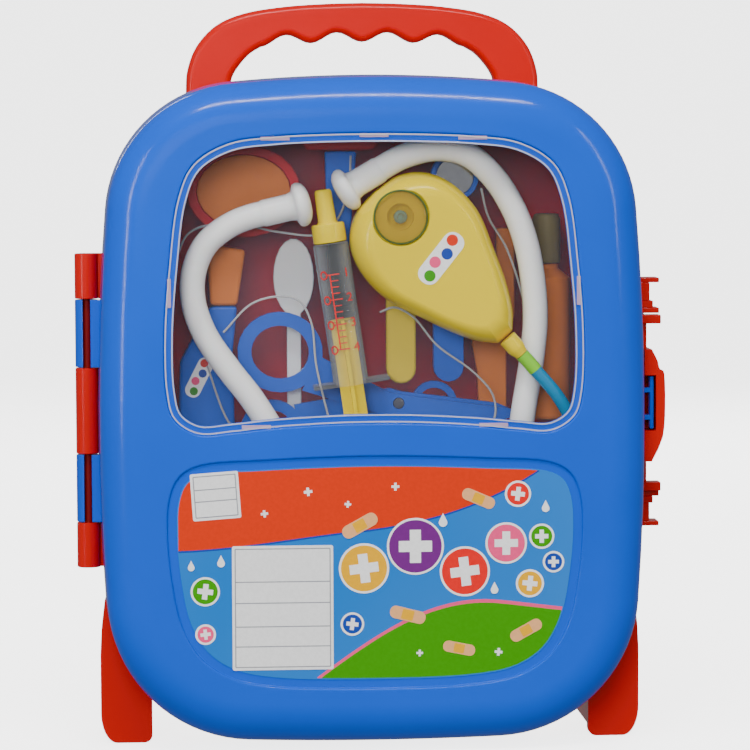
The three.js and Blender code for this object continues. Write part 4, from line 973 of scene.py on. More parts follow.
@dataclass
class Window:
    """The clear panel and its place in the cover."""

    half_width: float = 85.0
    foot: float = -6.3
    height: float = 119.8
    margin: float = 2.3
    ledge: float = 1.6
    gap: float = 0.3
    shares: tuple = ((0, 1), (0.24, 0.998), (0.48, 0.99), (0.7, 0.968), (0.86, 0.9), (0.93, 0.79),
                     (0.975, 0.56), (1, 0.32), (0.992, 0.125), (0.96, 0.045), (0.86, 0), (0.7, 0.006),
                     (0.5, 0.02), (0.2, 0.032), (0, 0.034))
    steps: int = 6

    def outline(self) -> list[Point]:
        """Gives the edge of the opening that the panel lies over, counter-clockwise."""
        return mirrored([(-u * self.half_width, self.foot + v * self.height)
                         for u, v in self.shares], self.steps)

    def tabs(self) -> list[tuple[Point, Span]]:
        """Gives the centre and half sizes of the panel's snap tabs.

        Returns:
            Pairs of centre and half sizes.
        """
        along, across, margin = 6.0, 0.8, self.margin / 2
        outline = self.outline()

        def level(x: float, upper: bool) -> float:
            """Gives the opening's edge above or below at an x."""
            side = [point for point in outline if (point[1] > self.foot + self.height / 2) == upper]
            return min(side, key=lambda point: abs(point[0] - x))[1]

        tops = [((share * self.half_width, level(share * self.half_width, True) + margin),
                 (along, across)) for share in (-0.48, 0.0, 0.48)]
        feet = [((share * self.half_width, level(share * self.half_width, False) - margin),
                 (along, across)) for share in (-0.58, 0.58)]
        sides = [((side * (self.half_width * 0.985 + margin), self.foot + 0.47 * self.height),
                  (across, along)) for side in (-1, 1)]
        return tops + feet + sides

    def line(self, at: float, front: float) -> Piece:
        """Makes a thin raised line round the panel, coloured white as a painted highlight on its edge.

        Args:
            at: How far outside the opening's edge the line's middle runs.
            front: The panel's front face.

        Returns:
            The closed ring.
        """
        half, rise = 0.3, 0.25
        ring = slab("window_rims_painted_highlight", offset(self.outline(), at + half), front - rise, front + rise, 0.2, 3)
        return combine(ring, Mode.CUT,
                       slab("inside", offset(self.outline(), at - half), front - 2, front + 2))

    def build(self) -> None:
        """Builds the panel with its edge lines, white as painted highlights, and its tabs, tinted as
        painted glints.
        """
        front, _ = span("window_panel", 1)
        wall = 0.8
        pane = slab("window_pane", offset(self.outline(), self.margin - self.gap), front, front + wall,
                    0.3)
        # White lines round the pane: painted highlights along its edge.
        highlight_rims = [self.line(at, front) for at in (self.margin - self.gap - 0.4, 0.4 - self.ledge)]
        # The tabs' pale tint is a painted glint.
        tabs = [block("window_tabs", (x - half_x, x + half_x), (front + 0.1, span("window_panel", 1)[1]),
                      (z - half_z, z + half_z), 0.2) for (x, z), (half_x, half_z) in self.tabs()]
        dress(pane, Finish.WINDOW, Body.COVER, ["window_panel"])
        dress(gather(highlight_rims), Finish.RIM, Body.COVER, (), 60)
        dress(gather(tabs), Finish.TAB, Body.COVER)


def level_at(line: Sequence[Point], x: float) -> float:
    """Gives the height of a line of points, sorted from left to right, at an x.

    Args:
        line: The line's points.
        x: Where its height is asked for.

    Returns:
        The height.
    """
    for (x0, z0), (x1, z1) in zip(line, line[1:]):
        if x0 <= x <= x1:
            return z0 + (z1 - z0) * (x - x0) / max(x1 - x0, 1e-6)
    return line[-1][1]


@dataclass
class Label:
    """The printed film on the cover, its generic print and two blank paper stickers."""

    half_width: float = 82.5
    height: float = 89.5
    top: float = -22.0
    ink: float = 0.04
    bare_edge: float = 0.5
    shares: tuple = ((0, 1), (0.3, 0.995), (0.56, 0.985), (0.867, 0.966), (0.95, 0.927),
                     (0.99, 0.843), (1, 0.686), (0.98, 0.473), (0.933, 0.271), (0.848, 0.137),
                     (0.715, 0.055), (0.52, 0.016), (0, 0))
    steps: int = 5

    def outline(self) -> list[Point]:
        """Gives the film's edge, counter-clockwise."""
        return mirrored([self.at(-u, v) for u, v in self.shares], self.steps)

    def at(self, u: float, v: float) -> Point:
        """Turns shares of the film, -1 to 1 across and 0 to 1 up, into a place."""
        return u * self.half_width, self.top - self.height * (1 - v)

    def side(self, upper: bool) -> list[Point]:
        """Gives the film's edge above or below its widest place, drawn in, from left to right.

        Args:
            upper: Whether the upper edge is asked for.

        Returns:
            The edge's points.
        """
        drawn_in = offset(self.outline(), -self.bare_edge)
        widest = max(drawn_in)[1]
        return sorted(point for point in drawn_in
                      if abs(point[1] - widest) < 1e-6 or (point[1] > widest) == upper)

    def inked(self, name: str, outlines: Sequence[Sequence[Point]], layer: int,
              finish: Finish) -> None:
        """Lays flat shapes of one ink on the film, one layer over the last.

        Args:
            name: Its name.
            outlines: The shapes.
            layer: How many inks lie under it.
            finish: The ink.
        """
        front = span("label_sheet", 1)[0]
        shapes = [slab(name, outline, front - self.ink * (layer + 1), front - self.ink * layer)
                  for outline in outlines]
        dress(gather(shapes), finish, Body.COVER)

    def band(self, low: Callable[[float], float], high: Callable[[float], float],
             reach: float, count: int = 360) -> list[Point]:
        """Gives the shape between two curves as far out as they reach, with most points at its ends.

        Args:
            low: The lower curve.
            high: The upper curve.
            reach: How far it goes to each side.
            count: Steps on each curve.

        Returns:
            The shape's outline.
        """
        xs = [-reach * math.cos(HALF_TURN * i / count) for i in range(count + 1)]
        lower = [(x, low(x)) for x in xs if high(x) - low(x) > 0.05]
        upper = [(x, high(x)) for x in xs if high(x) - low(x) > 0.05]
        return lower + upper[::-1]

    def print_all(self) -> None:
        """Lays the whole print: two waves of colour, plasters, plus signs, drops and dots."""
        reach = self.half_width - self.bare_edge - 0.05
        sides = {upper: self.side(upper) for upper in (True, False)}

        def upper(x: float) -> float:
            """The film's upper edge, drawn in."""
            return level_at(sides[True], x)

        def lower(x: float) -> float:
            """The film's lower edge, drawn in."""
            return level_at(sides[False], x)

        def crest(x: float) -> float:
            """The foot of the orange wave."""
            u = x / self.half_width
            return self.at(0, 0.66 + 0.05 * math.sin(2.4 * u + 1.0) + 0.36 * max(u + 0.1, 0) ** 2.2)[1]

        def hill(x: float) -> float:
            """The top of the green wave."""
            u = x / self.half_width
            return self.at(0, 0.33 - 0.36 * max(0.62 - u, 0) ** 1.9 + 0.03 * math.sin(4 * u))[1]

        self.inked("print_orange_rim", [self.band(lambda x: crest(x) - 0.8, upper, reach)],
                   0, Finish.INK_NAVY)
        self.inked("print_orange_wave", [self.band(crest, upper, reach)], 1, Finish.ORANGE)
        self.inked("print_green_rim", [self.band(lower, lambda x: hill(x) + 1.5, reach)], 0,
                   Finish.PINK)
        self.inked("print_green_wave", [self.band(lower, hill, reach)], 1, Finish.GREEN)
        self.motifs()

    def motifs(self) -> None:
        """Lays the small motifs over the waves."""
        plus = [(-1, -3), (1, -3), (1, -1), (3, -1), (3, 1), (1, 1), (1, 3), (-1, 3), (-1, 1), (-3, 1),
                (-3, -1), (-1, -1)]
        discs = {
            "green": (Finish.GREEN, [(-0.86, 0.42, 5.2), (0.84, 0.66, 4.4)]),
            "yellow": (Finish.INK_YELLOW, [(-0.06, 0.52, 9.6), (0.78, 0.44, 5.0)]),
            "purple": (Finish.PURPLE, [(0.20, 0.62, 11.0)]),
            "red": (Finish.INK_RED, [(0.45, 0.50, 9.6), (0.72, 0.86, 4.6)]),
            "pink": (Finish.PINK, [(0.66, 0.63, 7.8), (-0.86, 0.22, 3.4)]),
            "navy": (Finish.INK_NAVY, [(-0.12, 0.26, 4.0), (0.90, 0.54, 3.6)]),
        }
        places = [place_at for _, places in discs.values() for place_at in places]
        self.inked("print_disc_rim",
                   [oval(self.at(u, v), radius + 0.9, radius + 0.9) for u, v, radius in places], 2,
                   Finish.INK_WHITE)
        for name, (finish, spots) in discs.items():
            self.inked(f"print_disc_{name}",
                       [oval(self.at(u, v), radius, radius) for u, v, radius in spots], 3, finish)
        crosses = places + [(-0.34, 0.88, 2.8), (-0.14, 0.82, 2.2), (0.10, 0.90, 2.6),
                            (-0.56, 0.78, 2.4), (0.62, 0.12, 2.6), (0.22, 0.12, 2.2)]
        self.inked("print_plus", [moved(plus, self.at(u, v), 0.12 * (i % 3 - 1), radius * 0.21)
                                  for i, (u, v, radius) in enumerate(crosses)], 4, Finish.INK_WHITE)
        plasters = [(-0.08, 0.72, 0.5, 1.0), (0.52, 0.84, -0.4, 0.9), (0.16, 0.30, -0.25, 0.95),
                    (0.76, 0.22, 0.5, 0.9), (0.42, 0.14, -0.2, 0.85)]
        strip = rounded(8.0, -2.8, 2.8, 2.6)
        pad = rounded(2.6, -2.2, 2.2, 0.5)
        self.inked("print_plaster", [moved(strip, self.at(u, v), turn, size)
                                     for u, v, turn, size in plasters], 5, Finish.INK_TAN)
        self.inked("print_plaster_pad", [moved(pad, self.at(u, v), turn, size)
                                         for u, v, turn, size in plasters], 6, Finish.INK_YELLOW)
        drops = [(0.34, 0.74, 0.9), (-0.78, 0.56, 0.8), (0.60, 0.42, 0.8), (-0.93, 0.54, 0.7),
                 (0.86, 0.80, 0.8)]
        drop = arc((0, -1), 2.0, -1.25 * HALF_TURN + 0.2, 0.25 * HALF_TURN - 0.2, 16) + [(0, 3.4)]
        self.inked("print_drop", [moved(drop, self.at(u, v), 0, size) for u, v, size in drops], 7,
                   Finish.INK_WHITE)

    def sticker(self, name: str, centre: Point, half: Span, turn: float,
                rows: Sequence[float]) -> None:
        """Lays a blank form: paper with a thin frame and ruled rows.

        Args:
            name: The node that it stands for.
            centre: Its middle.
            half: Half its width and height.
            turn: How far it leans, in radians.
            rows: Its rows, as shares of its half height.
        """
        front, back = span(name, 1)
        half_x, half_z = half
        sheet = moved(rounded(half_x, -half_z, half_z, 0.8), centre, turn)
        paper = slab(f"{name}_paper", sheet, front, back)
        dress(paper, Finish.PAPER, Body.COVER, [name])
        line, edge = 0.22, 1.3
        bars = [rounded_bar(-half_x + edge, half_x - edge, level * half_z, line) for level in rows]
        bars += [rounded_bar(-half_x + edge, half_x - edge, side * (half_z - edge), line)
                 for side in (-1, 1)]
        bars += [[(x - line, -half_z + edge), (x + line, -half_z + edge), (x + line, half_z - edge),
                  (x - line, half_z - edge)] for x in (edge - half_x, half_x - edge)]
        shapes = [slab(f"{name}_rules", moved(bar, centre, turn),
                       front - self.ink * (1 + 0.1 * (i % 3)), front) for i, bar in enumerate(bars)]
        dress(gather(shapes), Finish.INK_GREY, Body.COVER)

    def build(self) -> None:
        """Builds the film, its print and the stickers."""
        front, back = span("label_sheet", 1)
        dress(slab("label_film", self.outline(), front, back), Finish.CYAN, Body.COVER, ["label_sheet"])
        self.print_all()
        self.sticker("large_sticker", self.at(-0.47, 0.34), (21.0, 26.0), 0.0,
                     (0.42, 0.08, -0.3, -0.62))
        self.sticker("small_sticker", self.at(-0.805, 0.865), (10.0, 9.8), 0.07, (0.3, -0.2))


def rounded_bar(low: float, high: float, level: float, half: float) -> list[Point]:
    """Gives a thin level bar."""
    return [(low, level - half), (high, level - half), (high, level + half), (low, level + half)]


@dataclass
class Hinge:
    """The snap hinge at the left, shared by the cover's clips and the shell's knuckles."""

    out: float = 4.4
    plane: float = -8.0
    radius: float = 4.9
    pin: float = 1.7
    mouth: float = 3.3
    room: float = 0.45
    play: float = 0.3
    split: float = 0.25
    fillet: float = 0.3
    level: float = -0.9
    clips: tuple = ((-46.9, -18.5), (18.5, 46.9))
    knuckles: tuple = ((-66.3, -47.3), (-18.1, 18.1), (47.3, 66.3))

    def x(self) -> float:
        """Gives the hinge axis's x."""
        return -CASE.half_width - self.out

    def bar(self, name: str, radius: float, reach: Span, fillet: float = 0.0) -> Piece:
        """Makes a round bar on the hinge's axis between two levels."""
        return rod(name, radius, place(self.x(), self.plane, self.level), (0, 0, 1), reach, fillet)

    def ear(self, reach: Span, root: float, depth: Span) -> list[Piece]:
        """Makes one ring round the axis and the arm that holds it, as separate solids.

        Args:
            reach: Its span along the axis.
            root: How far into the case its arm goes.
            depth: The arm's reach along y.

        Returns:
            The ring and the arm.
        """
        low, high = (z + self.level for z in reach)
        arm = block("arm", (self.x(), root - CASE.half_width), depth, (low, high), self.fillet)
        return [self.bar("ring", self.radius, reach, self.fillet), arm]

    def clip(self, reach: Span) -> list[Piece]:
        """Makes one clip of the cover."""
        return self.ear(reach, 5.0, (self.plane - self.radius, self.plane - self.split))

    def knuckle(self, reach: Span) -> list[Piece]:
        """Makes one knuckle of the shell."""
        return self.ear(reach, 6.0, (self.plane + self.split, self.plane + self.radius))


HINGE = Hinge()
SCREWS = [(x, z) for x in (-42, 42) for z in (-57.44, 89.44)]
BOSS_RADIUS = 4.0


@dataclass
class FrontCover:
    """The blue cover with its window opening, label field, hinge clips and catch."""

    wall: float = 2.6
    rim_width: float = 17.0
    rim_depth: float = 13.0
    opening_depth: float = 3.0
    opening_lip: float = 0.3
    window_depth: float = 1.3
    window_lip: float = 0.8
    label_margin: float = 3.8
    label_depth: float = 1.2
    label_lip: float = 0.9
    catch_out: float = 4.6
    catch_root: float = 5.2
    catch_wall: float = 1.7
    catch_y: Span = (-20.4, -14.4)
    catch_z: Span = (-10.0, 12.2)
    catch_ribs: Span = (0.22, 0.74)

    def build(self, window: Window, label: Label) -> None:
        """Builds the cover.

        Args:
            window: The window that it holds.
            label: The label that it carries.
        """
        front = span("front_cover", 1)[0]
        back = HINGE.plane - HINGE.split
        tub = Tub(0.0, back, front, self.rim_width, self.rim_depth, wall=self.wall)
        cover = tub.outer("cover_shell")
        for reach in HINGE.clips:
            combine(cover, Mode.FUSE, *HINGE.clip(reach))
        combine(cover, Mode.FUSE, *self.catch())
        combine(cover, Mode.CUT, tub.hollow())
        for outline, margin, surface, depth, lip in (
                (window.outline(), -window.ledge, front + self.window_depth, self.opening_depth,
                 self.opening_lip),
                (window.outline(), window.margin, front, self.window_depth, self.window_lip),
                (label.outline(), self.label_margin, front, self.label_depth, self.label_lip)):
            combine(cover, Mode.CUT, Recess(offset(outline, margin), surface, depth, lip).tool())
        for reach in HINGE.clips:
            low, high = reach[0] - 2, reach[1] + 2
            combine(cover, Mode.CUT, HINGE.bar("bore", HINGE.pin + HINGE.play, (low, high)))
            half = HINGE.mouth / 2
            combine(cover, Mode.CUT, block("mouth", (HINGE.x() - half, HINGE.x() + half),
                                           (HINGE.plane - 7, HINGE.plane),
                                           (low + HINGE.level, high + HINGE.level)))
        for low, high in HINGE.knuckles:
            combine(cover, Mode.CUT,
                    HINGE.bar("relief", HINGE.radius + HINGE.room, (low - 0.2, high + 0.2)))
        dress(cover, Finish.BLUE, Body.COVER, ["front_cover"])

    def catch(self) -> list[Piece]:
        """Makes the catch that the buckle closes round.

        Returns:
            The catch's plate and its ribs.
        """
        outer, inside = CASE.half_width + self.catch_out, CASE.half_width - self.catch_root
        low, high = self.catch_z
        levels = [low + share * (high - low) for share in self.catch_ribs]
        ribs = [block("rib", (inside, outer - self.catch_wall / 2), self.catch_y,
                      (level - 1, level + 1), 0.2) for level in levels]
        plate = block("catch", (outer - self.catch_wall, outer), self.catch_y, self.catch_z, 0.4)
        return [plate, *ribs]


def side_span(side: int, near: float, far: float) -> Span:
    """Gives a span of x on one side, in rising order."""
    return (side * near, side * far) if side > 0 else (side * far, side * near)


@dataclass
class RearShell:
    """The red shell with its knuckles, latch brackets, fenders, screw bosses and ledges."""

    wall: float = 2.4
    inset: float = 1.2
    rim: float = 13.0
    front: float = -7.75
    back: float = 28.0
    fender_width: float = 21.8
    fender_wall: float = 2.2
    fender_top: float = 68.0
    fender_inner: float = 3.5
    fender_outer: Span = (7.0, 13.0)
    fender_slant: tuple = ((0.0, 38.0), (0.5, 48.0), (1.9, 60.0), (4.0, 68.1), (6.0, 88.0))
    foot_depth: float = 4.2
    skirt: float = 5.0
    wheel_y: float = 19.0
    wheel_radius: float = 20.0
    clearance: float = 2.2
    pin_bore: Span = (-63.4, 80.0)
    bracket_level: float = 38.1
    bracket_reach: float = 9.3
    bracket_y: Span = (-3.5, 7.5)
    brackets: tuple = ((2.3, 1.0), (3.0, 0.72), (7.8, 0.56), (2.0, 1.0))
    ledge_y: Span = (-2.7, -0.3)
    ledge_reach: float = 5.0
    ledge_half: float = 12.0
    ledge_share: float = 0.4
    post_radius: float = 3.0
    posts: tuple = ((-0.63, 0.7, -6.9), (-0.32, 0.72, -6.9), (-0.12, 0.45, -6.9), (-0.12, 0.7, -6.9),
                    (0.114, 0.2, -6.9), (0.114, 0.5, -6.9), (0.29, 0.2, -6.9), (0.313, 0.66, -6.9),
                    (-0.6, 0.05, -0.9), (-0.55, -0.28, -0.9), (-0.53, 0.4, -0.9),
                    (-0.277, 0.42, -1.7), (-0.277, -0.16, -1.7), (0.24, -0.2, -1.7),
                    (0.24, -0.4, -1.7), (0.47, -0.3, 0.9), (0.505, 0.42, 0.9), (0.66, 0.05, 7.1),
                    (0.66, 0.36, 7.1))

    def fender(self, side: int) -> Piece:
        """Makes one filled fender, both its foot corners rounded, the outer one more so.

        Args:
            side: -1 for the left and 1 for the right.

        Returns:
            The fender.
        """
        floor = -MIDDLE
        hub, radius = floor + self.wheel_radius, self.wheel_radius + self.clearance + self.fender_wall
        start = math.asin((self.skirt - self.wheel_radius) / radius)
        profile = [(self.front, floor), (self.front + self.foot_depth, floor),
                   (self.front + self.foot_depth, floor + self.skirt)]
        profile += arc((self.wheel_y, hub), radius, start, QUARTER_TURN, 20)
        profile += [(self.wheel_y, hub + radius), (self.front, floor + self.fender_top)]
        low, high = side_span(side, CASE.half_width - self.fender_width, CASE.half_width)
        rings = [[place(x, y, z) for y, z in profile] for x in (low, high)]
        piece = settle(loft("fender", rings))
        inside, outside = CASE.half_width - self.fender_width, CASE.half_width
        reach, rise = self.fender_outer
        shape = arc((inside + self.fender_inner, floor + self.fender_inner), self.fender_inner,
                    -HALF_TURN, -QUARTER_TURN, 8)
        shape += [(inside + self.fender_inner, floor)]
        shape += [(outside + (u - 1) * reach, floor + (v + 1) * rise)
                  for u, v in arc((0, 0), 1, -QUARTER_TURN, 0, 12)]
        shape += [(outside, floor + rise)]
        shape += [(outside - back, floor + level) for back, level in self.fender_slant]
        shape.append((inside, floor + self.fender_slant[-1][1]))
        if side < 0:
            shape = [(-x, z) for x, z in reversed(shape)]
        return combine(piece, Mode.KEEP, slab("mask", shape, self.front - 1, 60))

    def well(self, side: int) -> list[Piece]:
        """Makes the room for one wheel.

        Args:
            side: -1 for the left and 1 for the right.

        Returns:
            The solids to cut with.
        """
        low, high = side_span(side, CASE.half_width - self.fender_width + self.fender_wall,
                              CASE.half_width - self.fender_wall)
        hub, radius = self.wheel_radius - MIDDLE, self.wheel_radius + self.clearance
        room = rod("well", radius, place(0, self.wheel_y, hub), (1, 0, 0), (low, high))
        lower = block("well", (low, high), (self.wheel_y - radius, self.wheel_y + radius),
                      (-MIDDLE - 6, hub))
        return [room, lower]

    def bracket(self, side: int) -> list[Piece]:
        """Makes the stepped blocks above or below the buckle.

        Args:
            side: -1 for those below and 1 for those above.

        Returns:
            The blocks.
        """
        level, solids = self.bracket_level, []
        for wall, share in self.brackets:
            reach = CASE.half_width + share * self.bracket_reach
            low, high = sorted((side * level, side * (level + wall)))
            solids.append(block("bracket", (CASE.half_width - 6, reach), self.bracket_y, (low, high),
                                0.35))
            level += wall
        return solids

    def build(self) -> None:
        """Builds the shell."""
        tub = Tub(self.inset, self.front, self.back, self.rim, self.rim, wall=self.wall)
        shell = tub.outer("rear_tub")
        hollow = tub.hollow()
        for side in (-1, 1):
            combine(shell, Mode.FUSE, self.fender(side))
            combine(hollow, Mode.CUT, self.fender(side))
            for solid in self.bracket(side):
                combine(shell, Mode.FUSE, solid)
        for reach in HINGE.knuckles:
            combine(shell, Mode.FUSE, *HINGE.knuckle(reach))
        combine(shell, Mode.CUT, hollow)
        floor = self.back - self.wall
        bosses = [rod("boss", BOSS_RADIUS, place(x, 0, z), (0, 1, 0), (floor - 6, floor + 1), 0.3)
                  for x, z in SCREWS]
        stubs = [rod("post", self.post_radius, place(u * CASE.half_width, 0, v * CASE.half_height),
                     (0, 1, 0), (reach, floor + 1), 0.3, 20) for u, v, reach in self.posts]
        for solid in bosses + stubs + self.ledges():
            combine(shell, Mode.FUSE, solid)
        for side in (-1, 1):
            combine(shell, Mode.CUT, *self.well(side))
        combine(shell, Mode.CUT, HINGE.bar("bore", HINGE.pin + HINGE.play, self.pin_bore))
        dress(shell, Finish.RED, Body.CASE, ["rear_shell"])

    def ledges(self) -> list[Piece]:
        """Makes the ledges that the tray's flange lies on.

        Returns:
            The ledges.
        """
        reach, under = self.inset + self.wall + self.ledge_reach, self.inset + self.wall / 2
        half = self.ledge_half
        levels = [share * CASE.half_height for share in (-self.ledge_share, self.ledge_share)]
        sides = [block("ledge", side_span(side, CASE.half_width - reach, CASE.half_width - under),
                       self.ledge_y, (level - half, level + half), 0.2)
                 for side in (-1, 1) for level in levels]
        ends = [block("ledge", (-half, half), self.ledge_y,
                      side_span(end, CASE.half_height - reach, CASE.half_height - under), 0.2)
                for end in (-1, 1)]
        return sides + ends


@dataclass
class PullHandle:
    """The red handle: two legs, an arched grip and scallops for the fingers."""

    half_width: float = 76.3
    leg_width: float = 19.3
    top: float = 171.3
    shoulder: float = 134.0
    foot: float = -30.0
    underside: float = 154.5
    scallop: float = 2.1
    scallops: int = 4
    pitch: float = 22.0
    fillet: float = 3.0
    lug: float = 3.2
    lug_height: float = 14.0
    arch: tuple = ((1, 0), (0.992, 0.22), (0.94, 0.5), (0.83, 0.74), (0.68, 0.875), (0.45, 0.955),
                   (0.2, 0.99), (0, 1))
    inner: tuple = ((0, 0.1), (0.02, 0.28), (0.1, 0.52), (0.22, 0.76), (0.34, 0.9))

    def outline(self) -> list[Point]:
        """Gives the whole handle's outline without its lugs, counter-clockwise.

        Returns:
            The outline.
        """
        leg = self.half_width - self.leg_width
        outer = [(u * self.half_width, self.shoulder + v * (self.top - self.shoulder))
                 for u, v in self.arch]
        outer = [(outer[0][0], outer[0][1] - 12)] + outer
        crown = smooth(outer, False, 5)
        half_reach = self.pitch * self.scallops / 2
        rise = self.underside - self.shoulder
        shoulder = [(leg - u * (leg - half_reach) / self.inner[-1][0], self.shoulder + v * rise)
                    for u, v in self.inner]
        waves = []
        steps = self.scallops * 5
        for i in range(steps + 1):
            share = 1 - i / steps
            x = half_reach * share
            wave = -math.cos(2 * HALF_TURN * x / self.pitch)
            waves.append((x, self.underside + self.scallop * (wave + 1 - share * share)))
        inside = [(leg, self.shoulder - 10)] + shoulder[:-1] + waves[:1]
        curve = smooth(inside, False, 4)
        under = [(leg, self.foot + 4), *curve, *waves[1:]]
        right = under[::-1] + [(leg + 1.2, self.foot + 1.2), (leg + 4, self.foot),
                               (self.half_width - 4, self.foot),
                               (self.half_width - 1.2, self.foot + 1.2),
                               (self.half_width, self.foot + 4), *crown]
        return right + [(-x, z) for x, z in reversed(right[1:-1])]

    def build(self) -> None:
        """Builds the handle."""
        low, high = span("pull_handle", 1)
        handle = slab("handle_grip", self.outline(), low, high, self.fillet, 5)
        leg = self.half_width - self.leg_width
        lugs = [block("lug", side_span(side, leg - self.lug, leg + 4), (low + 0.2, high - 0.2),
                      (self.foot + 0.5, self.foot + self.lug_height), 0.5) for side in (-1, 1)]
        combine(handle, Mode.FUSE, *lugs)
        dress(handle, Finish.RED, Body.HANDLE, ["pull_handle"])


@dataclass
class Buckle:
    """The red buckle: a plate, two cheeks and a bow round the cover's catch."""

    plate: Span = (115.5, 118.6)
    reach: float = 124.3
    half_height: float = 34.2
    cheek: float = 3.4
    bow_half: float = 23.8
    bow_wall: float = 4.0
    bow_profile: tuple = ((0, -1), (0.04, -0.98), (0.46, -0.79), (0.83, -0.56), (0.93, -0.4),
                          (0.985, -0.2), (1, 0.0), (1, 0.2), (0.975, 0.42), (0.93, 0.56),
                          (0.86, 0.62), (0.62, 0.645), (0.54, 0.68), (0.44, 0.79), (0.22, 0.9),
                          (0, 1))
    window: Span = (-10.6, 12.8)
    front: float = -22.0
    middle: float = -6.0
    back: float = 4.45
    shelf: float = 3.1
    shelf_back: float = -1.1
    pin_at: Point = (117.2, 2.0)
    pin_bore: float = 1.5

    def build(self) -> None:
        """Builds the buckle."""
        inner, outer = self.plate
        buckle = block("buckle_plate", self.plate, (self.middle, self.back),
                       (-self.half_height, self.half_height), 0.5)
        for side in (-1, 1):
            low, high = sorted((side * (self.half_height - 0.3), side * (self.half_height + self.cheek)))
            combine(buckle, Mode.FUSE,
                    block("cheek", self.plate, (self.middle, self.back), (low, high), 0.4),
                    block("cheek", (inner, self.reach), (self.middle - self.shelf, self.shelf_back),
                          (low, high), 0.4))
        bow = [(inner, -self.bow_half)]
        bow += [(outer + rise * (self.reach - outer), level * self.bow_half)
                for rise, level in self.bow_profile]
        bow.append((inner, self.bow_half))
        combine(buckle, Mode.FUSE, slab("bow", bow, self.front, self.middle + 0.3))
        combine(buckle, Mode.CUT, block("gap", (inner - 3, self.reach - self.bow_wall),
                                        (self.front - 3, self.middle - self.shelf), self.window))
        axis = place(*self.pin_at, 0)
        combine(buckle, Mode.CUT, rod("bore", self.pin_bore, axis, (0, 0, 1), (-60, 60)))
        bevelled(buckle, 0.35, 2, 50)
        dress(buckle, Finish.RED, Body.LATCH, ["latch_buckle"])


@dataclass
class Wheels:
    """Two ribbed wheels on steel axles."""

    radius: float = 20.0
    width: float = 13.0
    rim: float = 13.0
    dish: float = 2.5
    hub: float = 5.0
    bore: float = 2.3
    grooves: int = 3
    groove_depth: float = 0.9
    edge: float = 1.2
    spokes: int = 5
    spoke_radius: float = 1.6
    spoke_ring: float = 9.3

    def build(self) -> None:
        """Builds both wheels."""
        across, through, groove = (1, 0, 0), (-20, 20), self.groove_depth
        for name, body in (("left_wheel", Body.LEFT_WHEEL), ("right_wheel", Body.RIGHT_WHEEL)):
            low, high = span(name, 0)
            middle = place((low + high) / 2, sum(span(name, 1)) / 2, sum(span(name, 2)) / 2)
            half = self.width / 2
            profile = [(self.bore, -half), (self.hub, -half), (self.hub + 0.6, self.dish - half),
                       (self.rim - 0.6, self.dish - half), (self.rim, -half),
                       (self.radius - self.edge, -half), (self.radius, self.edge - half)]
            for i in range(self.grooves):
                level = -half + self.width * (i + 1) / (self.grooves + 1)
                profile += [(self.radius, level - groove), (self.radius - groove, level - 0.5),
                            (self.radius - groove, level + 0.5), (self.radius, level + groove)]
            back = [(radius, -along) for radius, along in reversed(profile[:7])]
            wheel = turned(f"{name}_tread", profile + back, axis_matrix(middle, across), 64)
            combine(wheel, Mode.CUT, rod("bore", self.bore, middle, across, through))
            spokes = [rod("spoke", self.spoke_radius,
                          middle + place_turn(self.spoke_ring, i / self.spokes), across, through, 0, 20)
                      for i in range(self.spokes)]
            combine(wheel, Mode.CUT, gather(spokes))
            dress(wheel, Finish.DARK_RED, body, [name])


def place_turn(radius: float, share: float) -> Vector:
    """Gives a step in y and z, at a share of a full turn."""
    return Vector((0, math.cos(2 * HALF_TURN * share), math.sin(2 * HALF_TURN * share))) * radius * MM


@dataclass
class RearPanel:
    """The panel that closes the handle's rails, with grooves to grip by."""

    half_width: float = 84.0
    wall: float = 2.4
    corner: float = 14.0
    rail: float = 2.4
    outer_rail: Span = (76.8, 79.2)
    inner_rail: Span = (50.9, 53.3)
    lip: Span = (52.1, 56.5)
    lip_foot: float = 114.5
    hole: float = 1.7
    sink: Span = (3.5, 2.1)
    groove_half: Span = (44.0, 1.1)
    groove_level: float = 16.0
    groove_pitch: float = 7.0

    def build(self) -> None:
        """Builds the panel."""
        low, high = span("rear_panel", 2)
        front, back = span("rear_panel", 1)
        panel = slab("handle_panel", rounded(self.half_width, low, high, self.corner, 10),
                     back - self.wall, back, 0.9)
        depth = (front, back - self.wall / 2)
        rails = []
        for side in (-1, 1):
            for name, reach, foot, top in (
                    ("rail", self.outer_rail, low + self.corner, high - self.corner),
                    ("rail", self.inner_rail, low + self.rail, high - self.rail),
                    ("lip", self.lip, self.lip_foot, high - self.rail)):
                rails.append(block(name, side_span(side, *reach), depth, (foot, top), 0.2))
        places = [place(x, 0, z) for x, z in SCREWS]
        bosses = [rod("boss", BOSS_RADIUS, at, (0, 1, 0), depth, 0.2) for at in places]
        combine(panel, Mode.FUSE, *rails, *bosses)
        sink, sink_depth = self.sink
        holes = [rod("hole", self.hole, at, (0, 1, 0), (front - 4, back + 4), 0, 24) for at in places]
        sinks = [rod("sink", sink, at, (0, 1, 0), (back - sink_depth, back + 4), 0, 32)
                 for at in places]
        half_x, half_z = self.groove_half
        groove = rounded(half_x, -half_z, half_z, 1.0)
        grooves = [slab("groove", moved(groove, (0, self.groove_level + self.groove_pitch * i)),
                        back - 0.6, back + 2) for i in range(-3, 4)]
        combine(panel, Mode.CUT, *holes, *sinks, gather(grooves))
        dress(panel, Finish.RED, Body.CASE, ["rear_panel"])
        for i in range(1, 5):
            dress(softened(f"panel_screw_{i}", 0.2), Finish.STEEL, Body.CASE, [f"panel_screw_{i}"])


# What the case holds


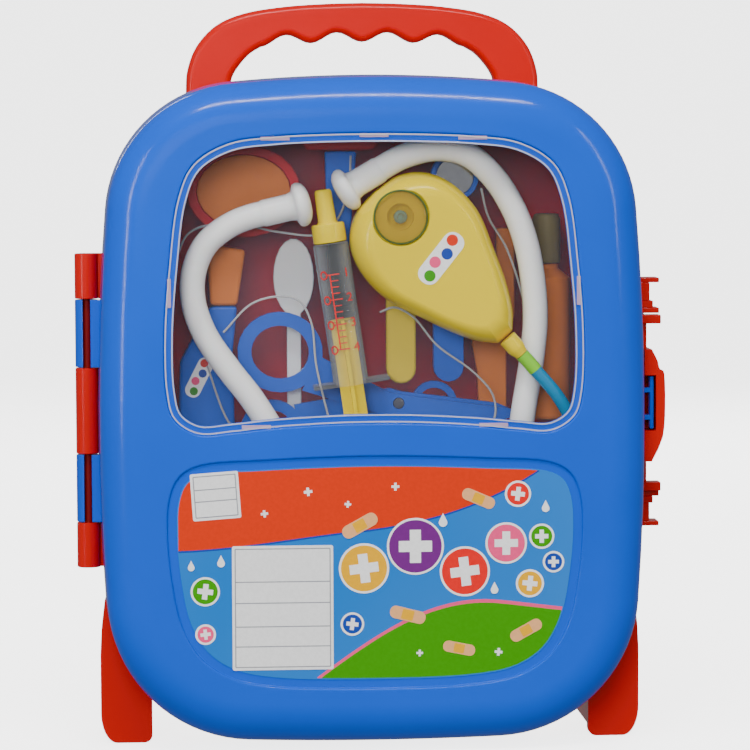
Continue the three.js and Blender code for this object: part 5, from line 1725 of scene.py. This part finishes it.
@dataclass
class Tray:
    """The thermoformed clear tray between the two layers of instruments."""

    edge: float = 4.4
    flange: float = 6.0
    slope: float = 6.0
    wall: float = 1.0
    bead: float = 0.45
    corner_x: Span = (92.4, 115.8)
    corner_top: float = 68.8
    pockets: tuple = (
        ((-82, 62), (-76, 74), (-60, 78), (-38, 74), (-22, 73), (-14, 79), (-9, 92), (-8, 106)),
        ((-62, 32), (-50, 44), (-38, 47), (-30, 45), (-25, 36), (-23, 18), (-18, -4)),
        ((-69, 18), (-60, -6), (-46, -22), (-34, -34), (-30, -46)),
        ((4, 40), (10, 42), (18, 38), (28, 26), (44, 14), (52, 4), (52, -6), (44, -10), (20, -8),
         (-4, -9), (-28, -12)),
        ((47, 92), (50, 80), (58, 66), (66, 40), (70, 14), (68, -12)),
    )

    def build(self) -> None:
        """Builds the tray and the raised beads round its pockets, white as painted highlights on the
        pocket edges.
        """
        table, back = span("blister_tray", 1)
        flange = back - self.wall
        foot = self.edge + self.flange
        outer = stack("tray_sheet", [
            (CASE.points(self.edge), back), (CASE.points(self.edge), flange),
            (CASE.points(foot - 0.5), flange), (CASE.points(foot + 0.5), flange - 0.8),
            (CASE.points(foot + self.slope - 0.8), table + 1.2),
            (CASE.points(foot + self.slope - 0.2), table + 0.3),
            (CASE.points(foot + self.slope + 0.8), table)])
        inner = stack("room", [
            (CASE.points(foot + self.wall), back + 6), (CASE.points(foot + self.wall), flange),
            (CASE.points(foot + self.wall + self.slope), table + self.wall)])
        corners = [block("corner", side_span(side, *self.corner_x), (table - 6, flange + 6),
                         (-MIDDLE, -MIDDLE + self.corner_top)) for side in (-1, 1)]
        combine(outer, Mode.CUT, inner, *corners)
        dress(outer, Finish.TRAY, Body.CASE, ["blister_tray"])
        # White beads along the pocket edges: painted highlights.
        highlight_beads = [tube("tray_beads_painted_highlight", [place(x, table, z) for x, z in pocket], self.bead, 8, 3)
                 for pocket in self.pockets]
        dress(gather(highlight_beads), Finish.BEAD, Body.CASE, (), 60)


def dotted_strip(name: str, centre: Point, turn: float, size: float, face: float) -> None:
    """Lays a die-cut strip of plain coloured dots on a flat front.

    Args:
        name: What its pieces' names start with.
        centre: The strip's middle.
        turn: How far it leans, in radians.
        size: 1 for a strip 25 mm long.
        face: The y of the front that it lies on.
    """
    strip = moved(rounded(12.5, -4.6, 4.6, 4.2), centre, turn, size)
    dress(slab(f"{name}_strip", strip, face - 0.12, face + 0.05), Finish.INK_WHITE, Body.CASE)
    colours = (Finish.GREEN, Finish.PINK, Finish.INK_NAVY, Finish.ORANGE)
    for i, finish in enumerate(colours):
        at = moved([(-8.6 + 5.8 * i, 1.0 if i % 2 else -0.8)], centre, turn, size)[0]
        dress(slab(f"{name}_dot_{i}", oval(at, 2.4 * size, 2.4 * size), face - 0.18, face - 0.08),
              finish, Body.CASE)


@dataclass
class Stethoscope:
    """Two ear tubes, their tips, the yoke, the chest piece and the hose."""

    tube_radius: float = 5.3
    tip_radius: float = 9.4
    sleeve: Span = (5.7, 12.4)
    seat: float = -14.8
    left: tuple = ((-0.388, 0.588), (-0.44, 0.578), (-0.515, 0.553), (-0.6, 0.498), (-0.645, 0.42),
                   (-0.65, 0.33), (-0.608, 0.227), (-0.52, 0.12), (-0.437, 0.031), (-0.36, -0.075),
                   (-0.3, -0.2), (-0.23, -0.33), (-0.12, -0.43))
    right: tuple = ((0.024, 0.713), (0.075, 0.738), (0.125, 0.757), (0.233, 0.777), (0.345, 0.762),
                    (0.435, 0.702), (0.508, 0.614), (0.56, 0.507), (0.588, 0.39), (0.598, 0.27),
                    (0.586, 0.154), (0.56, 0.02), (0.53, -0.12), (0.47, -0.25), (0.38, -0.36),
                    (0.28, -0.43))
    yoke_x: float = 14.03
    spread: float = 10.0
    yoke_top: float = -76.0
    sleeve_length: float = 10.0

    def spot(self, share: Point) -> Point:
        """Turns shares of the case's half sizes into a place."""
        return share[0] * CASE.half_width, share[1] * CASE.half_height

    def arms(self) -> None:
        """Builds the two ear tubes and their tips."""
        depth = self.seat - self.tip_radius - 0.3
        for side, name, shares in ((-1, "left", self.left), (1, "right", self.right)):
            route = [self.spot(share) for share in shares]
            end_x, end_z = self.yoke_x + side * self.spread, self.yoke_top + 0.3
            route += [(end_x, end_z + 10.6), (end_x, end_z + 5.3), (end_x, end_z)]
            points = [place(x, depth, z) for x, z in route]
            dress(tube(f"{name}_tube", points, self.tube_radius, 6, 8), Finish.WHITE, Body.CASE,
                  [f"{name}_ear_tube"], 60)
            (x0, z0), (x1, z1) = route[:2]
            along = Vector((x0 - x1, 0, z0 - z1)).normalized()
            radius, length = self.sleeve
            profile = [(radius - 0.3, -1.2), (radius - 0.1, -0.6), (radius, 0.4),
                       (radius, length * 0.82), (radius + 0.5, length),
                       (self.tip_radius * 0.8, length + 0.5), (self.tip_radius * 0.94, length + 1.2),
                       (self.tip_radius, length + 2.4), (self.tip_radius * 0.985, length + 3.8),
                       (self.tip_radius * 0.9, length + 5.2), (self.tip_radius * 0.72, length + 6.4),
                       (self.tip_radius * 0.45, length + 7.15), (self.tip_radius * 0.15, length + 7.4)]
            tip = turned(f"{name}_tip", profile, axis_matrix(place(x0, depth, z0), along))
            dress(tip, Finish.WHITE, Body.CASE, [f"{name}_ear_tip"], 60)

    def build(self) -> None:
        """Builds the whole stethoscope."""
        self.arms()
        dress(softened("headset_yoke", 1.5), Finish.WHITE, Body.CASE, ["headset_yoke"])
        ChestPiece().build()
        self.hose()

    def hose(self) -> None:
        """Builds the translucent hose along the instrument's stored route."""
        chest = ChestPiece()
        start = chest.at(-chest.length / 2 - 0.1, 0)
        dx, dz = math.cos(chest.tilt), math.sin(chest.tilt)
        level = chest.spigot_y()
        low, radius = self.seat - 2.75, 2.75
        points = [place(start[0] + dx * step, level, start[1] + dz * step) for step in (9.3, 13.4)]
        shares = ((0.591, 0.116, 1), (0.664, 0.046, 1), (0.714, -0.02, 0.9), (0.755, -0.1, 0.66),
                  (0.785, -0.2, 0.36), (0.785, -0.34, 0.12), (0.74, -0.5, 0), (0.65, -0.66, 0),
                  (0.52, -0.78, 0), (0.38, -0.835, 0), (0.25, -0.835, 0.03), (0.16, -0.8, 0.14))
        for u, v, depth in shares:
            x, z = self.spot((u, v))
            points.append(place(x, low + (level - low) * depth, z))
        foot = self.yoke_top - 24.3
        entry = self.seat - 8.25
        points += [place(self.yoke_x, entry, foot - 5.5), place(self.yoke_x, entry, foot)]
        dress(tube("hose_tube", points, radius, 6, 6), Finish.HOSE, Body.CASE, ["stethoscope_hose"], 60)
        route = smooth(points, False, 6)
        sleeve = [point for point in route
                  if (Vector(point) - points[0]).length < self.sleeve_length * MM]
        dress(tube("hose_sleeve", sleeve, radius + 0.2, 1, 6), Finish.LIME, Body.CASE, (), 60)


@dataclass
class ChestPiece:
    """The yellow pear with its clear lens and lamp."""

    length: float = 82.0
    width: float = 54.5
    depth: float = 23.5
    back_wall: float = 6.0
    tilt: float = -0.84
    seat: float = -14.8
    round_off: float = 4.4
    centre: Point = (28.64, 60.34)
    lens_at: Point = (26.73, -0.71)
    spigot_radius: float = 3.9
    pear: tuple = ((0.5, 0), (0.48, 0.22), (0.4, 0.39), (0.28, 0.48), (0.09, 0.495), (-0.12, 0.39),
                   (-0.3, 0.28), (-0.42, 0.18), (-0.48, 0.1), (-0.5, 0.07))

    def at(self, along: float, across: float) -> Point:
        """Turns distances along and across the pear's axis into a place in x and z."""
        return moved([(-along, -across)], self.centre, self.tilt)[0]

    def face(self) -> float:
        """Gives the y of the front face."""
        return self.seat - self.depth

    def spigot_y(self) -> float:
        """Gives the y of the spigot's axis."""
        return self.face() + self.spigot_radius + self.round_off * 0.27

    def ring(self, inset: float) -> list[Point]:
        """Gives the pear's outline, shrunk by an inset at its widest.

        Args:
            inset: How far inside the pear's edge it runs.

        Returns:
            The outline.
        """
        shrink = 1 - 2 * inset / self.width
        upper = [(u * self.length * shrink, v * self.width * shrink) for u, v in self.pear]
        curve = smooth(upper, False, 5)
        whole = curve + [(u, -v) for u, v in reversed(curve[1:])]
        return [self.at(*point) for point in whole]

    def build(self) -> None:
        """Builds the two halves, the lens, the lamp and the spigot."""
        split, face = self.seat - self.back_wall, self.face()
        drop = split - 0.1 - face
        levels = [(self.ring(0.35), split - 0.1), (self.ring(0), split - 0.5)]
        steps = 14
        for i in range(steps + 1):
            turn = QUARTER_TURN * i / steps
            levels.append((self.ring(7.0 * (1 - math.cos(turn))),
                           split - drop * (0.3 + 0.7 * math.sin(turn))))
        front = stack("chest_front", levels)
        x, z = self.at(*self.lens_at)
        lens, inwards = place(x, face, z), (0, 1, 0)
        matrix = axis_matrix(lens, inwards)
        combine(front, Mode.CUT,
                turned("bowl", [(13.2, -2), (13.0, -0.2), (12.2, 0.25), (11.7, 1.0), (11.7, 1.7)],
                       matrix, 64),
                rod("cup", 5.6, lens, inwards, (1, 5.4)))
        dress(front, Finish.YELLOW, Body.CASE, ["chest_piece_front"], 50)
        back = stack("chest_back", [(self.ring(3.6), self.seat), (self.ring(2.2), self.seat - 0.9),
                                    (self.ring(0.9), self.seat - 2.4), (self.ring(0.2), self.seat - 4.2),
                                    (self.ring(0), split + 0.3), (self.ring(0.3), split)])
        dress(back, Finish.YELLOW, Body.CASE, ["chest_piece_back"], 50)
        dome = [(10.6, 1.3), (10.6, 0.3), (10.2, 0.0), (9.0, -0.3), (7.0, -0.5), (4.0, -0.58),
                (1.0, -0.62)]
        dress(turned("chest_lens", dome, matrix, 64), Finish.LENS, Body.CASE,
              ["chest_piece_lens"], 50)
        collar = turned("lens_collar", [(11.4, 1.5), (11.4, 0.1), (11.1, -0.35), (10.8, -0.35),
                                        (10.65, 0.1), (10.65, 1.5)], matrix, 64)
        combine(collar, Mode.CUT, rod("hole", 10.64, lens, inwards, (-3, 5), 0, 64))
        dress(collar, Finish.RIM_GREEN, Body.CASE, (), 50)
        lamp = [(2.8, 5.0), (2.8, 2.0), (2.5, 1.6), (1.5, 1.5), (1.2, 1.9), (0.5, 1.9)]
        dress(turned("chest_lamp", lamp, matrix, 32), Finish.TEAL, Body.CASE,
              ["chest_piece_lamp"], 50)
        start = self.at(-self.length / 2 - 0.1, 0)
        along = (math.cos(self.tilt), 0, math.sin(self.tilt))
        spigot = [(3.9, 0), (3.9, 5.4), (3.7, 6.4), (3.1, 7.9), (2.9, 9.0)]
        root = axis_matrix(place(start[0], self.spigot_y(), start[1]), along)
        dress(turned("hose_socket", spigot, root), Finish.YELLOW, Body.CASE, ["hose_spigot"], 50)
        self.badge()

    def badge(self) -> None:
        """Lays the strip of dots on the pear's front."""
        dotted_strip("badge", (28.0, 63.5), 0.9, 1.0, self.face())


@dataclass
class Syringe:
    """The toy syringe with its scale, piston and ribbed plunger."""

    centre: Point = (-12.88, 39.9)
    tilt: float = 0.142
    depth: float = -22.5
    radius: float = 7.4
    wall: float = 1.1
    half: float = 30.0
    piston_level: float = 3.6

    def matrix(self) -> Matrix:
        """Puts the syringe's own millimetres, +Z towards the nozzle, in the frame.

        Returns:
            The matrix.
        """
        at = place(self.centre[0], self.depth, self.centre[1])
        turn = Matrix.Rotation(-self.tilt, 4, "Y")
        return Matrix.Translation(at) @ turn @ Matrix.Scale(MM, 4)

    def build(self) -> None:
        """Builds the syringe."""
        matrix = self.matrix()
        inner, end = self.radius - self.wall, self.half
        barrel = turned("barrel_tube", [(self.radius, -end), (self.radius, end - 0.6),
                                        (self.radius - 0.6, end), (1.45, end),
                                        (1.45, end + 5.6)], matrix)
        grip = block("grip", (-16, 16), (-6.4, 6.4), (-end - MIDDLE, -end + 1.8 - MIDDLE), 0.5)
        grip.data.transform(matrix @ Matrix.Scale(1 / MM, 4))
        combine(barrel, Mode.FUSE, grip)
        combine(barrel, Mode.CUT, turned("bore", [(inner, -end - 5), (inner, end - self.wall)], matrix))
        dress(barrel, Finish.BARREL, Body.CASE, ["syringe_barrel"], 50)
        cap = [(1.75, end + 0.3), (6.6, end + 0.3), (7.0, end + 0.7), (7.0, end + 7.6), (6.5, end + 8.3),
               (4.4, end + 8.3), (3.9, end + 9.3), (3.6, end + 21.4), (3.0, end + 22.5),
               (1.0, end + 22.7)]
        dress(turned("nozzle_cap", cap, matrix), Finish.YELLOW, Body.CASE, ["syringe_cap"], 50)
        level, radius = self.piston_level, inner - 0.3
        piston = [(radius * 0.9, level - 5.2), (radius, level - 4.9), (radius, level - 3.2),
                  (radius * 0.86, level - 2.6), (radius * 0.86, level - 0.4), (radius, level + 0.2),
                  (radius, level + 2.2), (radius * 0.86, level + 2.8), (radius * 0.8, level + 3.6),
                  (radius * 0.3, level + 5.2)]
        dress(turned("piston_rubber", piston, matrix), Finish.RUBBER, Body.PLUNGER,
              ["syringe_piston"], 50)
        self.plunger(matrix)
        self.scale(matrix)

    def plunger(self, matrix: Matrix) -> None:
        """Builds the ribbed plunger with its stop discs and thumb disc.

        Args:
            matrix: Places the syringe's own millimetres.
        """
        top = self.piston_level - 5.35
        bottom = top - 64
        rod_piece = turned("plunger_rod", [(4.9, bottom + 2), (4.9, bottom + 3), (1.2, bottom + 3.4),
                                           (1.2, top - 1.2), (4.6, top - 1.0), (4.6, top)], matrix, 32)
        disc = turned("disc", [(8.1, bottom), (9.0, bottom + 0.7), (9.0, bottom + 1.3),
                               (8.1, bottom + 2.0), (5.0, bottom + 2.1)], matrix)
        mask = block("mask", (-30, 30), (-7.1, 7.1), (bottom - 4 - MIDDLE, bottom + 6 - MIDDLE))
        mask.data.transform(matrix @ Matrix.Scale(1 / MM, 4))
        combine(disc, Mode.KEEP, mask)
        combine(rod_piece, Mode.FUSE, disc)
        for half_x, half_y in ((5.0, 0.8), (0.8, 5.0)):
            rib = block("rib", (-half_x, half_x), (-half_y, half_y),
                        (bottom + 1 - MIDDLE, top - 0.4 - MIDDLE), 0.2)
            rib.data.transform(matrix @ Matrix.Scale(1 / MM, 4))
            combine(rod_piece, Mode.FUSE, rib)
        dress(rod_piece, Finish.YELLOW, Body.PLUNGER, ["syringe_plunger"], 50)

    def wrap(self, u: float, v: float, proud: float) -> Vector:
        """Lays a flat point round the barrel's front, a little proud of it."""
        turn, radius = u / self.radius, self.radius + proud
        return Vector((radius * math.sin(turn), -radius * math.cos(turn), v))

    def lay(self, name: str, outline: Sequence[Point], matrix: Matrix) -> Piece:
        """Makes a thin printed shape on the barrel from an outline in u and v."""
        rings = [[matrix @ self.wrap(u, v, proud) for u, v in outline] for proud in (0.02, 0.08)]
        return loft(name, rings)

    def scale(self, matrix: Matrix) -> None:
        """Prints the dial: a stem, ring marks, ticks and the plain numbers 1 to 4.

        Args:
            matrix: Places the syringe's own millimetres.
        """
        shapes = []
        levels = [17.1 - 10.5 * i for i in range(4)]
        ring_at, stem_at, half = -5.6, -2.6, 0.26

        def bar(low: Point, high: Point) -> None:
            """Prints one bar between two corners."""
            corners = [low, (high[0], low[1]), high, (low[0], high[1])]
            shapes.append(self.lay("mark", corners, matrix))

        for i, level in enumerate(levels):
            outer, inner = (oval((ring_at, level), size, size, 28) for size in (1.9, 1.25))
            band = self.lay("mark", outer, matrix)
            hole = loft("hole", [[matrix @ self.wrap(u, v, proud) for u, v in inner]
                                 for proud in (-0.6, 0.9)])
            shapes.append(combine(band, Mode.CUT, hole))
            bar((ring_at + 1.8, level - half), (1.4, level + half))
            if i < 3:
                bar((stem_at - half, level - 10.3), (stem_at + half, level - 0.2))
                for k in range(1, 4):
                    at = level - 10.5 * k / 4
                    bar((stem_at + 0.2, at - 0.22), (0.6, at + 0.22))
            shapes.append(self.number(str(i + 1), level + 0.5, matrix))
        dress(gather(shapes), Finish.INK_RED, Body.CASE)

    def number(self, digit: str, level: float, matrix: Matrix) -> Piece:
        """Prints one plain number beside its mark.

        Args:
            digit: The number.
            level: Its mark's place along the barrel.
            matrix: Places the syringe's own millimetres.

        Returns:
            The printed number.
        """
        data = bpy.data.curves.new("number", "FONT")
        data.body = digit
        data.size = 5.2
        data.align_x = "CENTER"
        data.extrude = 0.03
        activate(linked("number", data))
        bpy.ops.object.convert(target="MESH")
        piece = bpy.context.active_object
        for vertex in piece.data.vertices:
            u, v, w = vertex.co
            vertex.co = matrix @ self.wrap(u * 1.25 + 4.7, v + level - 1.9, 0.05 + w)
        return settle(piece, 1e-7)


@dataclass
class Instruments:
    """The flat instruments behind the tray, rounded from the solids that hold their places."""

    flats: tuple = (
        ("goggle_frame", Finish.RED, Body.CASE, 0.8),
        ("goggle_lens", Finish.AMBER, Body.CASE, 0.3),
        ("otoscope_handle", Finish.TOY_BLUE, Body.CASE, 1.6),
        ("otoscope_head", Finish.AMBER, Body.CASE, 1.6),
        ("scissor_front_half", Finish.TOY_BLUE, Body.CASE, 0.5),
        ("scissor_back_half", Finish.TOY_BLUE, Body.SCISSOR, 0.5),
        ("scissor_rivet", Finish.STEEL, Body.CASE, 0.2),
        ("toy_spoon", Finish.WHITE, Body.CASE, 0.8),
        ("hammer_handle", Finish.TOY_BLUE, Body.CASE, 0.9),
        ("hammer_head", Finish.RED, Body.CASE, 1.5),
        ("thermometer", Finish.YELLOW, Body.CASE, 1.2),
        ("mirror_handle", Finish.TOY_BLUE, Body.CASE, 0.9),
        ("mirror_glass", Finish.MIRROR, Body.CASE, 0.1),
        ("probe", Finish.TOY_BLUE, Body.CASE, 0.7),
        ("forceps", Finish.AMBER, Body.CASE, 0.9),
        ("medicine_bottle", Finish.AMBER, Body.CASE, 0.5),
        ("bottle_cap", Finish.OLIVE, Body.CASE, 0.5),
        # The pin's darker red is painted shade.
        ("hinge_pin", Finish.PIN_RED, Body.CASE, 0.2),
        ("left_axle", Finish.STEEL, Body.CASE, 0.2),
        ("right_axle", Finish.STEEL, Body.CASE, 0.2),
        ("upper_latch_pin", Finish.STEEL, Body.CASE, 0.1),
        ("lower_latch_pin", Finish.STEEL, Body.CASE, 0.1),
    )

    def build(self) -> None:
        """Builds every piece of the list."""
        for node, finish, body, width in self.flats:
            dress(softened(node, width), finish, body, [node])
        dotted_strip("otoscope", (-72.3, 13.0), 1.1, 0.72, span("otoscope_handle", 1)[0])


# The studio


@dataclass(frozen=True)
class Lamp:
    """One soft lamp aimed at the case; only a mirrored one shows in its gloss."""

    name: str
    at: tuple[float, float, float]
    size: Span
    power: float
    mirrored: bool = False
    aim: tuple[float, float, float] = (0.0, 0.0, 0.15)

    def light(self) -> None:
        """Places the lamp."""
        data = bpy.data.lights.new(self.name, "AREA")
        data.shape = "RECTANGLE"
        data.size, data.size_y = self.size
        data.energy = self.power
        lamp = linked(self.name, data)
        lamp.location = self.at
        beam = Vector(self.aim) - Vector(self.at)
        lamp.rotation_euler = beam.to_track_quat("-Z", "Y").to_euler()
        lamp.visible_glossy = self.mirrored


@dataclass
class Studio:
    """A pale sweep, soft lights and the camera at the photograph's angle. Sizes are in metres."""

    azimuth: float = -3.75
    elevation: float = 4.2
    roll: float = -0.25
    distance: float = 1.51
    lens: float = 170.0
    aim: Point = (0.0028, 0.1554)
    floor: Span = (-6.0, 4.0)
    bend: float = 1.0
    backdrop: float = 6.0
    half_width: float = 8.0
    floor_light: float = 3.4
    world_light: float = 0.25
    lamps: tuple = (
        Lamp("front_box", (-0.35, -1.7, 0.6), (0.9, 0.7), 18.5),
        Lamp("top_box", (-0.2, -0.8, 1.5), (1.2, 0.5), 10.5),
        Lamp("left_box", (-1.3, -1.2, 0.5), (0.5, 1.2), 3.0),
        Lamp("right_box", (1.4, -1.0, 0.6), (0.5, 1.2), 2.5),
        Lamp("back_box", (0.5, 1.5, 0.9), (1.0, 0.8), 15.0),
        Lamp("top_strip", (0.0, -0.9, 1.4), (1.0, 0.06), 9.0, True),
        Lamp("left_strip", (-1.2, -1.2, 0.5), (0.06, 1.0), 4.0, True),
        Lamp("right_strip", (1.2, -1.2, 0.7), (0.06, 1.0), 2.4, True),
        Lamp("back_strip", (-0.6, 1.3, 0.9), (0.06, 1.0), 2.0, True),
    )

    def camera(self) -> None:
        """Places the camera."""
        data = bpy.data.cameras.new("camera")
        data.lens = self.lens
        data.sensor_width = 36.0
        data.clip_start, data.clip_end = 0.05, 50.0
        camera = linked("camera", data)
        turn, rise = math.radians(self.azimuth), math.radians(self.elevation)
        back = Vector((math.sin(turn) * math.cos(rise), -math.cos(turn) * math.cos(rise),
                       math.sin(rise)))
        target = Vector((self.aim[0], 0.0, self.aim[1]))
        camera.location = target + back * self.distance
        look = (-back).to_track_quat("-Z", "Y").to_matrix().to_4x4()
        turned_view = look @ Matrix.Rotation(math.radians(self.roll), 4, "Z")
        camera.rotation_euler = turned_view.to_euler()
        bpy.context.scene.camera = camera

    def sweep(self) -> None:
        """Makes the floor, which curves up into a backdrop."""
        near, far = self.floor
        turns = [QUARTER_TURN * i / 12 for i in range(1, 13)]
        profile = [(near, 0.0), (far, 0.0)]
        profile += [(far + self.bend * math.sin(t), self.bend * (1.0 - math.cos(t))) for t in turns]
        profile.append((far + self.bend, self.backdrop))
        deselect()
        bpy.ops.mesh.primitive_grid_add(x_subdivisions=1, y_subdivisions=len(profile) - 1, size=2)
        floor = bpy.context.active_object
        floor.name = "floor"
        rows = sorted({round(vertex.co.y, 4) for vertex in floor.data.vertices})
        for vertex in floor.data.vertices:
            y, z = profile[rows.index(round(vertex.co.y, 4))]
            vertex.co = Vector((vertex.co.x * self.half_width, y, z))
        bpy.ops.object.shade_smooth()
        nodes = Nodes("floor_white")
        nodes.feed("Base Color", nodes.ramp(nodes.noise(3.0), [(0.4, (0.9, 0.9, 0.9)),
                                                               (0.6, (0.92, 0.92, 0.92))]))
        nodes.fix(Roughness=0.9, Specular_IOR_Level=0.1, Emission_Color=(1, 1, 1, 1),
                  Emission_Strength=self.floor_light)
        floor.data.materials.append(nodes.material)
        floor.visible_glossy = False
        floor.visible_diffuse = False

    def build(self) -> None:
        """Builds the studio."""
        self.camera()
        self.sweep()
        world = bpy.data.worlds.new("studio")
        world.use_nodes = True
        background = world.node_tree.nodes["Background"]
        background.inputs["Color"].default_value = (1, 1, 1, 1)
        background.inputs["Strength"].default_value = self.world_light
        bpy.context.scene.world = world
        for lamp in self.lamps:
            lamp.light()


def main() -> None:
    """Builds the studio, the case and what it holds."""
    Studio().build()
    window, label = Window(), Label()
    FrontCover().build(window, label)
    for part in (window, label, RearShell(), RearPanel(), PullHandle(), Buckle(), Wheels(), Tray(),
                 Stethoscope(), Syringe(), Instruments()):
        part.build()


if __name__ == "__main__":
    main()
